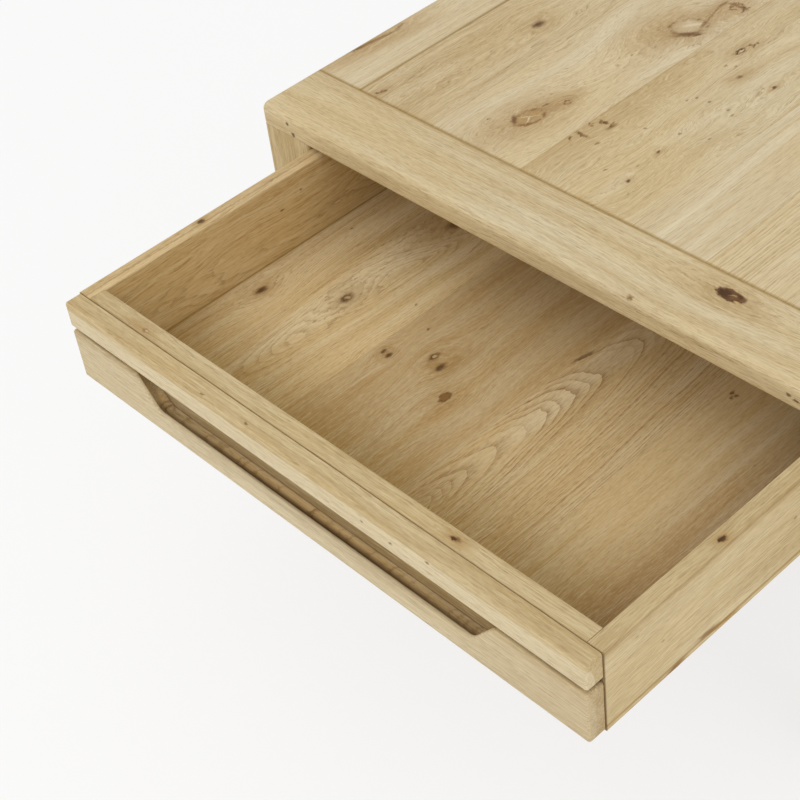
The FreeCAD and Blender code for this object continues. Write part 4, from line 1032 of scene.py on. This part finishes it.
@dataclass
class Drawer:
    """One drawer with its box and its front in two boards.

    Places are those of the front drawer, which stands open. The rear one is its mirror image, and shut.
    """

    end: str
    seed: float
    top: float = 421.0                  # upper edge of the box and of the strip
    face: float = -909.0                # outer face of the front boards
    inside: float = 311.0               # inner face of the right side
    seat: float = -890.4                # where the front boards meet the box
    open: float = 311.0                 # how far the front drawer stands open
    floor: float = 334.5                # where the sides meet the bottom
    box_front_inside: float = -872.0    # inner face of the box front
    leaves: tuple[float, float, float] = (-132.5, 29.5, 157.5)
    cove_stripes: int = 36

    def is_front(self) -> bool:
        """Whether this is the drawer in the photograph."""
        return self.end == "front"

    def along(self, place: float) -> float:
        """Where a place along the front drawer lies on this one."""
        return place if self.is_front() else -place - self.open

    def inward(self, depth: float) -> float:
        """Where a depth behind this drawer's face lies."""
        return self.along(self.face) + (depth if self.is_front() else -depth)

    def bottom(self) -> Wood:
        """The veneered bottom: four leaves side by side, one with nested arches.

        Returns:
            Its wood.
        """
        if self.is_front():
            heart = -600.0
            marks = (
                *knot(-716.8, -285.1, 4.2, pull=2.0), *knot(-670.5, -208.2, 5.2, heart=True, pull=2.2),
                *knot(-701.7, -121.3, 2.4), *knot(-702.6, -113.3, 2.6), *knot(-677.1, -77.9, 4.2, heart=True),
                *knot(-683.5, -62.6, 3.9), halo(-669.0, -54.0, 26.0, 9.0, 0.0, 0.5),
                halo(-709.7, -30.1, 22.0, 13.0, 0.0, 0.5, 3.8),
                Mark(-709.7, -30.1, 7.2, 4.8, Stain.FLECK, 6.0, 0.25, 0.9),
                Mark(-709.7, -30.1, 7.6, 5.1, Stain.KNOT, 6.0, 0.2, 0.6, hollow=0.3),
                *burr(-541.1, 169.3, 5.0, 3.0, 5, 13), pin(-598.1, 239.1, 1.2, strength=0.3),
                Mark(-586.6, 30.6, 12.0, 2.0, Stain.RIM, 10.0, 0.6, 0.7, pull=1.2),
                pin(-633.9, -147.2), pin(-651.9, -111.4), pin(-590.8, -288.5),
                # The grain swirls round a dark knot just under the edge of the top.
                halo(-522.0, -215.0, 44.0, 22.0, 6.0, 0.6, 6.0),
                Mark(-516.0, -208.0, 11.0, 6.0, Stain.RIM, 8.0, 0.6, 0.8),
                halo(-560.0, -245.0, 60.0, 9.0, 10.0, 0.5),
                # A dark line in the joint at the front wall, painted shade along the front wall and the right
                # one, and a faint tint over the second leaf.
                end_line(self.box_front_inside, 0.6, 1.6),
                # Painted shade cast by the front wall onto the bottom.
                Mark(self.box_front_inside, 0.0, 80.0, ENDLESS, Stain.DUST_AND_SHADE, 0.0, 1.0, 0.88, ragged=False,
                     under=True),
                Mark(0.0, -51.5, ENDLESS, 64.0, Stain.DUST_AND_SHADE, 0.0, 0.3, 0.12, ragged=False, under=True),
                # Painted shade cast by the right wall onto the bottom.
                Mark(0.0, self.inside, ENDLESS, 60.0, Stain.FLECK, 0.0, 1.0, 0.85, ragged=False, under=True),
            )
        else:
            heart = 350.0
            marks = wild_marks("rear_drawer_bottom", Run.END_TO_END, 8, 77)
        marks += (joint_line(-self.inside, 0.6, 1.6), joint_line(self.inside, 0.6, 1.6))
        seams = (Seam(self.leaves[0], (900.0, 150.0, 40.0), 0.36, -0.35),
                 Seam(self.leaves[1], (-560.0, -407.0, -40.0), -0.2, 0.6),
                 Seam(self.leaves[2], (500.0, -300.0, 0.0), 0.03, -0.7))
        return Wood(f"oak veneer, {self.end} drawer bottom", Run.END_TO_END, VENEER,
                    Growth(pith=(heart, -205.0, 332.0), lean=7.2, turn=0.0, ring=3.0, wander=2.6,
                           ring_show=0.5,
                           year_least=0.3, streak_show=0.24, bristle=(8.0, 0.85), bristle_show=0.36),
                    marks, seams, self.seed)

    def side_grooves(self) -> tuple[Mark, ...]:
        """The dark lines on a side, where it meets the bottom and the front boards."""
        return (joint_line(self.floor, 0.6, 1.4),
                Mark(self.along(self.seat), 0.0, 0.7, ENDLESS, Stain.RIM, 0.0, 0.8, 0.5, ragged=False))

    def left_side(self) -> Wood:
        """The left side, with pale and brown bands along its upper edge.

        Returns:
            Its wood.
        """
        if self.is_front():
            near = -560.0
            marks = (Mark(-746.2, self.top, 9.0, 9.0, Stain.HALO, 0.0, 0.8, 0.5, deep=-322.0, depth=6.0),
                     Mark(-746.2, self.top, 4.0, 6.0, Stain.KNOT, 0.0, 0.4, 0.85, deep=-322.0, depth=3.0),
                     pin(-629.5, 397.0), pin(-657.0, 386.5))
        else:
            near = 300.0
            marks = wild_marks("rear_drawer_left_side", Run.UPRIGHT_LONG, 3, 31)
        bands = (Mark(0.0, self.top, ENDLESS, 3.0, Stain.SAP, 0.0, 0.5, 0.25, ragged=False, under=True),
                 Mark(0.0, self.top, ENDLESS, 6.0, Stain.HALO, 0.0, 0.6, 0.2, deep=-328.0, depth=8.0,
                      under=True),
                 Mark(0.0, self.top, ENDLESS, 3.0, Stain.FLECK, 0.0, 0.6, 0.4, deep=-318.6, depth=0.9))
        return Wood(f"oiled oak, {self.end} drawer left side", Run.UPRIGHT_LONG, HONEY,
                    Growth(pith=(near, 358.0, -296.0), lean=5.0, turn=0.0, ring=4.4, wander=7.0,
                           ring_show=0.7,
                           streak_show=0.42, bristle_show=0.3),
                    marks + bands + self.side_grooves(), seed=self.seed + 1.0)

    def right_side(self) -> Wood:
        """The right side, with a knot in its upper edge and brown flecks along its lower one.

        Returns:
            Its wood.
        """
        if self.is_front():
            marks = (Mark(-746.0, self.top, 9.0, 9.0, Stain.HALO, 0.0, 0.8, 0.5, deep=320.7, depth=6.0),
                     Mark(-746.0, self.top, 4.5, 6.0, Stain.RIM, 0.0, 0.5, 0.85, deep=320.7, depth=2.8),
                     Mark(-746.5, self.top, 3.4, 6.0, Stain.KNOT, 0.0, 0.4, 0.95, deep=320.7, depth=1.9),
                     pin(-662.0, 381.7, 1.6, strength=0.5), pin(-854.0, 407.3, strength=0.4),
                     pin(-825.0, 375.8, strength=0.4), fleck(-809.0, 331.0, 10.0, 3.5, 8.0),
                     fleck(-768.0, 336.0, 14.0, 3.0, -8.0), fleck(-749.0, 333.0, 16.0, 2.4, -4.0, Stain.HALO),
                     # Painted shade along the rounded outer edge, and paler wood on the outside.
                     Mark(0.0, self.top, ENDLESS, 4.0, Stain.FLECK, 0.0, 0.7, 0.3, deep=328.2, depth=1.0,
                          ragged=False),
                     Mark(0.0, 375.0, ENDLESS, 42.0, Stain.SAP, 0.0, 0.2, 0.2, deep=329.0, depth=3.0,
                          ragged=False,
                          under=True))
        else:
            marks = wild_marks("rear_drawer_right_side", Run.UPRIGHT_LONG, 3, 32)
        return Wood(f"oiled oak, {self.end} drawer right side", Run.UPRIGHT_LONG, DUN,
                    Growth(pith=(0.0, 250.0, 500.0), turn=0.5, ring=2.5, wander=4.0),
                    marks + self.side_grooves(), seed=self.seed + 2.0)

    def front_groove(self) -> Mark:
        """The dark line where the box meets the front boards."""
        return Mark(0.0, 0.0, ENDLESS, ENDLESS, Stain.RIM, 0.0, 0.8, 0.5, deep=self.along(self.seat),
                    depth=0.7,
                    ragged=False)

    def box_front(self) -> Wood:
        """The front of the box, with two knots in its upper edge, and painted shade on its face where the
        notch shows it under the strip.

        Returns:
            Its wood.
        """
        if self.is_front():
            marks = (Mark(166.3, self.top, 14.0, 9.0, Stain.HALO, 0.0, 0.8, 0.6, deep=-881.0, depth=6.0,
                          pull=1.0),
                     Mark(165.0, self.top, 5.5, 9.0, Stain.RIM, 0.0, 0.5, 0.8, deep=-881.0, depth=2.2),
                     Mark(164.0, self.top, 3.0, 9.0, Stain.KNOT, 0.0, 0.4, 0.9, deep=-881.6, depth=1.6),
                     Mark(-237.0, self.top, 18.0, 9.0, Stain.HALO, 0.0, 0.9, 0.45, deep=-883.0, depth=7.0,
                          pull=1.6),
                     Mark(-233.0, self.top, 3.4, 9.0, Stain.FLECK, 0.0, 0.7, 0.6, deep=-884.6, depth=2.0),
                     Mark(-231.8, self.top, 1.6, 9.0, Stain.SAP, 0.0, 0.6, 0.6, deep=-884.2, depth=1.0))
        else:
            marks = wild_marks("rear_drawer_box_front", Run.UPRIGHT_CROSS, 2, 91)
        # Painted shade on the face that shows through the notch, under the strip.
        shaded = Mark(0.0, 372.0, ENDLESS, 24.0, Stain.FLECK, 0.0, 0.3, 0.35, deep=self.along(self.seat),
                      depth=2.0,
                      ragged=False, under=True)
        return Wood(f"oiled wild oak, {self.end} drawer box front", Run.UPRIGHT_CROSS, DUN,
                    Growth(pith=(0.0, 250.0, -700.0 if self.is_front() else 700.0), turn=0.4, ring=2.3,
                           wander=2.5),
                    (*marks, shaded, replace(self.front_groove(), across=self.top, width=3.0)),
                    seed=self.seed + 3.0)

    def back(self) -> Wood:
        """The back of the box.

        Returns:
            Its wood.
        """
        return Wood(f"oiled oak, {self.end} drawer back", Run.UPRIGHT_CROSS, TAWNY,
                    Growth(pith=(0.0, 250.0, -300.0 if self.is_front() else 300.0), turn=0.4, ring=4.0,
                           wander=3.0),
                    wild_marks(f"{self.end}_drawer_back", Run.UPRIGHT_CROSS, 2, int(self.seed)),
                    seed=self.seed + 4.0)

    def front_strip(self) -> Wood:
        """The narrow upper board of the front, with a pale band of sapwood along its face.

        Returns:
            Its wood.
        """
        slant = 0.16 if self.is_front() else -0.16
        sapwood = Mark(0.0, 394.0, ENDLESS, 20.4, Stain.SAP, slant, 0.06, 0.75, deep=self.inward(0.0),
                       depth=9.0,
                       ragged=False, under=True)
        if self.is_front():
            marks = (pin(83.9, 406.7), pin(116.9, 404.8), pin(160.7, 413.4),
                     Mark(0.0, self.top, ENDLESS, 6.0, Stain.HALO, 0.05, 0.7, 0.25, deep=-904.0, depth=4.0,
                          under=True),
                     Mark(-124.6, self.top, 2.2, 4.0, Stain.RIM, 0.0, 0.6, 0.7, deep=-905.0, depth=1.4),
                     Mark(-65.8, self.top, 2.2, 4.0, Stain.RIM, 0.0, 0.6, 0.7, deep=-904.0, depth=1.4))
        else:
            marks = wild_marks("rear_drawer_front_strip", Run.UPRIGHT_CROSS, 2, 92)
        return Wood(f"oiled wild oak, {self.end} drawer front strip", Run.UPRIGHT_CROSS, DUN,
                    Growth(pith=(0.0, -135.0, self.inward(270.0)), turn=0.3, ring=2.2, wander=2.5),
                    (sapwood, *marks, self.front_groove()), seed=self.seed + 5.0, end_shade=0.1)

    def cove(self) -> tuple[Mark, ...]:
        """The hollow behind the notch: short brown stripes where the grain runs out, over painted light, a
        bright warm amber where light falls into the hollow.

        Returns:
            Its marks.
        """
        draw = random.Random(17)
        # Painted light: the lit middle of the hollow is painted a bright warm amber.
        amber = Mark(0.0, 356.0, 250.0, 10.0, Stain.AMBER, 0.0, 0.4, 0.95, deep=self.inward(14.0), depth=5.0,
                     ragged=False, under=True)
        stripes = (Mark(draw.uniform(-215.0, 215.0), draw.uniform(346.0, 354.0), draw.uniform(7.0, 12.0),
                        draw.uniform(0.5, 0.8), Stain.FLECK, draw.uniform(14.0, 24.0), 0.8,
                        draw.uniform(0.25, 0.5), deep=self.inward(13.0), depth=7.0)
                   for _ in range(self.cove_stripes))
        return (amber, *stripes)

    def lower_front(self) -> Wood:
        """The notched lower board of the front, with painted shade behind the notch's lip and painted light
        in the hollow behind it.

        Returns:
            Its wood.
        """
        sapwood = Mark(0.0, 350.0, ENDLESS, 33.0, Stain.SAP, 0.0, 0.25, 0.5, deep=self.inward(0.0), depth=9.0,
                       ragged=False, under=True)
        if self.is_front():
            marks = (Mark(320.0, 350.0, 70.0, ENDLESS, Stain.HALO, 0.0, 1.0, 0.2, ragged=False, under=True),)
        else:
            marks = wild_marks("rear_drawer_lower_front", Run.UPRIGHT_CROSS, 3, 93)
        # Painted shade behind the notch's lip, where the lip and the strip shade the hollow.
        lip = Mark(0.0, 350.0, 230.0, 6.5, Stain.KNOT, 0.0, 0.8, 0.9, deep=self.inward(6.2), depth=4.4,
                   ragged=False)
        return Wood(f"oiled wild oak, {self.end} drawer lower front", Run.UPRIGHT_CROSS, SAND,
                    Growth(pith=(0.0, -180.0, self.inward(270.0)), turn=-0.3, ring=2.4, wander=2.5),
                    (sapwood, *marks, *self.cove(), lip, replace(self.front_groove(), strength=0.7)),
                    seed=self.seed + 6.0, end_shade=0.1)

    def dress(self) -> None:
        """Dress every wooden piece of the drawer, apart from its dowels and its catch."""
        pieces = {"bottom": self.bottom(), "left_side": self.left_side(), "right_side": self.right_side(),
                  "box_front": self.box_front(), "back": self.back(), "front_strip": self.front_strip(),
                  "lower_front": self.lower_front()}
        for piece, wood in pieces.items():
            dress(f"{self.end}_drawer_{piece}", wood.build())


@dataclass
class Fittings:
    """Screws, brackets, dowels, catches and glides, by what they are made of."""

    steel_pieces: tuple[str, ...] = ("top_brackets", "bracket_screws", "guide_screws")
    steel_in_drawer: tuple[str, ...] = ("front_screws", "bottom_screws")
    beech_in_drawer: tuple[str, ...] = ("dowels", "catch")

    def dress(self) -> None:
        """Dress every fitting."""
        steel = ZincSteel().build()
        plastic = GlidePlastic().build()
        beech = Wood("beech, dowels", Run.SIDE_TO_SIDE, BEECH,
                     Growth(ring=2.4, wander=1.0, ring_show=0.3, streak_show=0.3), seed=70.0).build()
        for node in self.steel_pieces:
            dress(node, steel)
        dress("floor_glides", plastic)
        for end in ("front", "rear"):
            for piece in self.steel_in_drawer:
                dress(f"{end}_drawer_{piece}", steel)
            for piece in self.beech_in_drawer:
                dress(f"{end}_drawer_{piece}", beech)


@dataclass(frozen=True)
class Softbox:
    """One square softbox: its place and side in metres, and its share of the light on a surface facing it."""

    name: str
    place: tuple[float, float, float]
    side: float
    share: float


@dataclass
class Studio:
    """The plain pale floor, soft light all round and the camera."""

    floor_size: float = 30.0
    floor_colour: str = "#f6f6f5"
    floor_white: float = 0.975
    shadow_share: float = 0.25
    sky: float = 0.83
    # The camera's place and axes, fitted to straight edges in the photograph.
    place: tuple[float, float, float] = (0.90032, -1.49533, 1.44789)
    right: tuple[float, float, float] = (0.686818, 0.719397, -0.103678)
    up: tuple[float, float, float] = (-0.437185, 0.522849, 0.731777)
    back: tuple[float, float, float] = (0.580646, -0.457271, 0.673612)
    lens: float = 80.3585
    sensor: float = 36.0
    clip: tuple[float, float] = (0.05, 100.0)
    target: tuple[float, float, float] = (0.0, -0.6, 0.4)
    softboxes: tuple[Softbox, ...] = (
        Softbox("key", (-0.9, -1.6, 3.4), 2.2, 0.06),
        Softbox("front", (-0.4, -3.6, 2.3), 2.2, 0.21),
        Softbox("right", (3.6, -0.8, 1.4), 2.0, 0.17),
    )

    def seen(self, tree: Tree) -> Socket:
        """Tell what the camera sees, directly or in a reflection, from what only lights the table.

        Args:
            tree: the nodes of the floor or the world.

        Returns:
            A socket that is 1 for what is seen and 0 for the rest.
        """
        path = add_node(tree, "ShaderNodeLightPath")
        seen = add_node(tree, "ShaderNodeMath",
                        {0: path.outputs["Is Camera Ray"], 1: path.outputs["Is Glossy Ray"]},
                        operation="MAXIMUM")
        seen = add_node(tree, "ShaderNodeMath", {0: seen.outputs[0], 1: path.outputs["Is Transmission Ray"]},
                        operation="MAXIMUM")
        return seen.outputs[0]

    def build_floor(self) -> None:
        """Lay the floor, which shows the camera a paler tone of its own shading."""
        bpy.ops.object.select_all(action="DESELECT")
        bpy.ops.mesh.primitive_plane_add(size=self.floor_size, location=(0.0, 0.0, 0.0))
        floor = bpy.context.active_object
        floor.name = "studio_floor"
        material = blank_material("matt white paper floor")
        tree = material.node_tree
        share = add_node(tree, "ShaderNodeMath", {0: self.seen(tree), 1: 1.0 - self.shadow_share},
                         operation="MULTIPLY")
        paper = add_node(tree, "ShaderNodeBsdfDiffuse", {"Color": linear(self.floor_colour)})
        white = add_node(tree, "ShaderNodeEmission", {"Strength": self.floor_white})
        mixed = add_node(tree, "ShaderNodeMixShader",
                         {0: share.outputs[0], 1: paper.outputs[0], 2: white.outputs[0]})
        add_node(tree, "ShaderNodeOutputMaterial", {"Surface": mixed.outputs[0]})
        floor.data.materials.append(material)
        LOG.info("floor: %s", material.name)

    def build_light(self) -> None:
        """Light the table softly from all round."""
        world = bpy.data.worlds.new("soft white studio")
        bpy.context.scene.world = world
        world.use_nodes = True
        tree = world.node_tree
        tree.nodes.clear()
        sky = add_node(tree, "ShaderNodeBackground", {"Color": (1.0, 1.0, 1.0, 1.0), "Strength": self.sky})
        white = add_node(tree, "ShaderNodeBackground",
                         {"Color": (1.0, 1.0, 1.0, 1.0), "Strength": self.floor_white})
        mixed = add_node(tree, "ShaderNodeMixShader",
                         {0: self.seen(tree), 1: sky.outputs[0], 2: white.outputs[0]})
        add_node(tree, "ShaderNodeOutputWorld", {"Surface": mixed.outputs[0]})
        LOG.info("light: %s", world.name)
        for box in self.softboxes:
            data = bpy.data.lights.new(box.name, "AREA")
            data.shape = "SQUARE"
            data.size = box.side
            away = Vector(box.place) - Vector(self.target)
            # A softbox of this many watts adds its share to the light on a surface that faces it.
            data.energy = box.share * math.pi ** 2 * away.length_squared
            lamp = bpy.data.objects.new(box.name, data)
            bpy.context.scene.collection.objects.link(lamp)
            lamp.location = box.place
            lamp.rotation_euler = away.to_track_quat("Z", "Y").to_euler()
            LOG.info("light: %s softbox", box.name)

    def build_camera(self) -> None:
        """Put the camera where the photograph was taken."""
        data = bpy.data.cameras.new("camera")
        data.sensor_width = self.sensor
        data.lens = self.lens
        data.clip_start, data.clip_end = self.clip
        camera = bpy.data.objects.new("camera", data)
        bpy.context.scene.collection.objects.link(camera)
        rows = zip(self.right, self.up, self.back, self.place)
        camera.matrix_world = Matrix((*rows, (0.0, 0.0, 0.0, 1.0)))
        bpy.context.scene.camera = camera
        LOG.info("camera: %.1f mm lens", self.lens)

    def build(self) -> None:
        """Build floor, light and camera."""
        self.build_floor()
        self.build_light()
        self.build_camera()
        bpy.context.scene.view_settings.view_transform = "Standard"


def main() -> None:
    """Build the table's looks and the studio around it."""
    Studio().build()
    TableTop().dress()
    Stand().dress()
    Drawer("front", 40.0).dress()
    Drawer("rear", 55.0).dress()
    Fittings().dress()


if __name__ == "__main__":
    main()
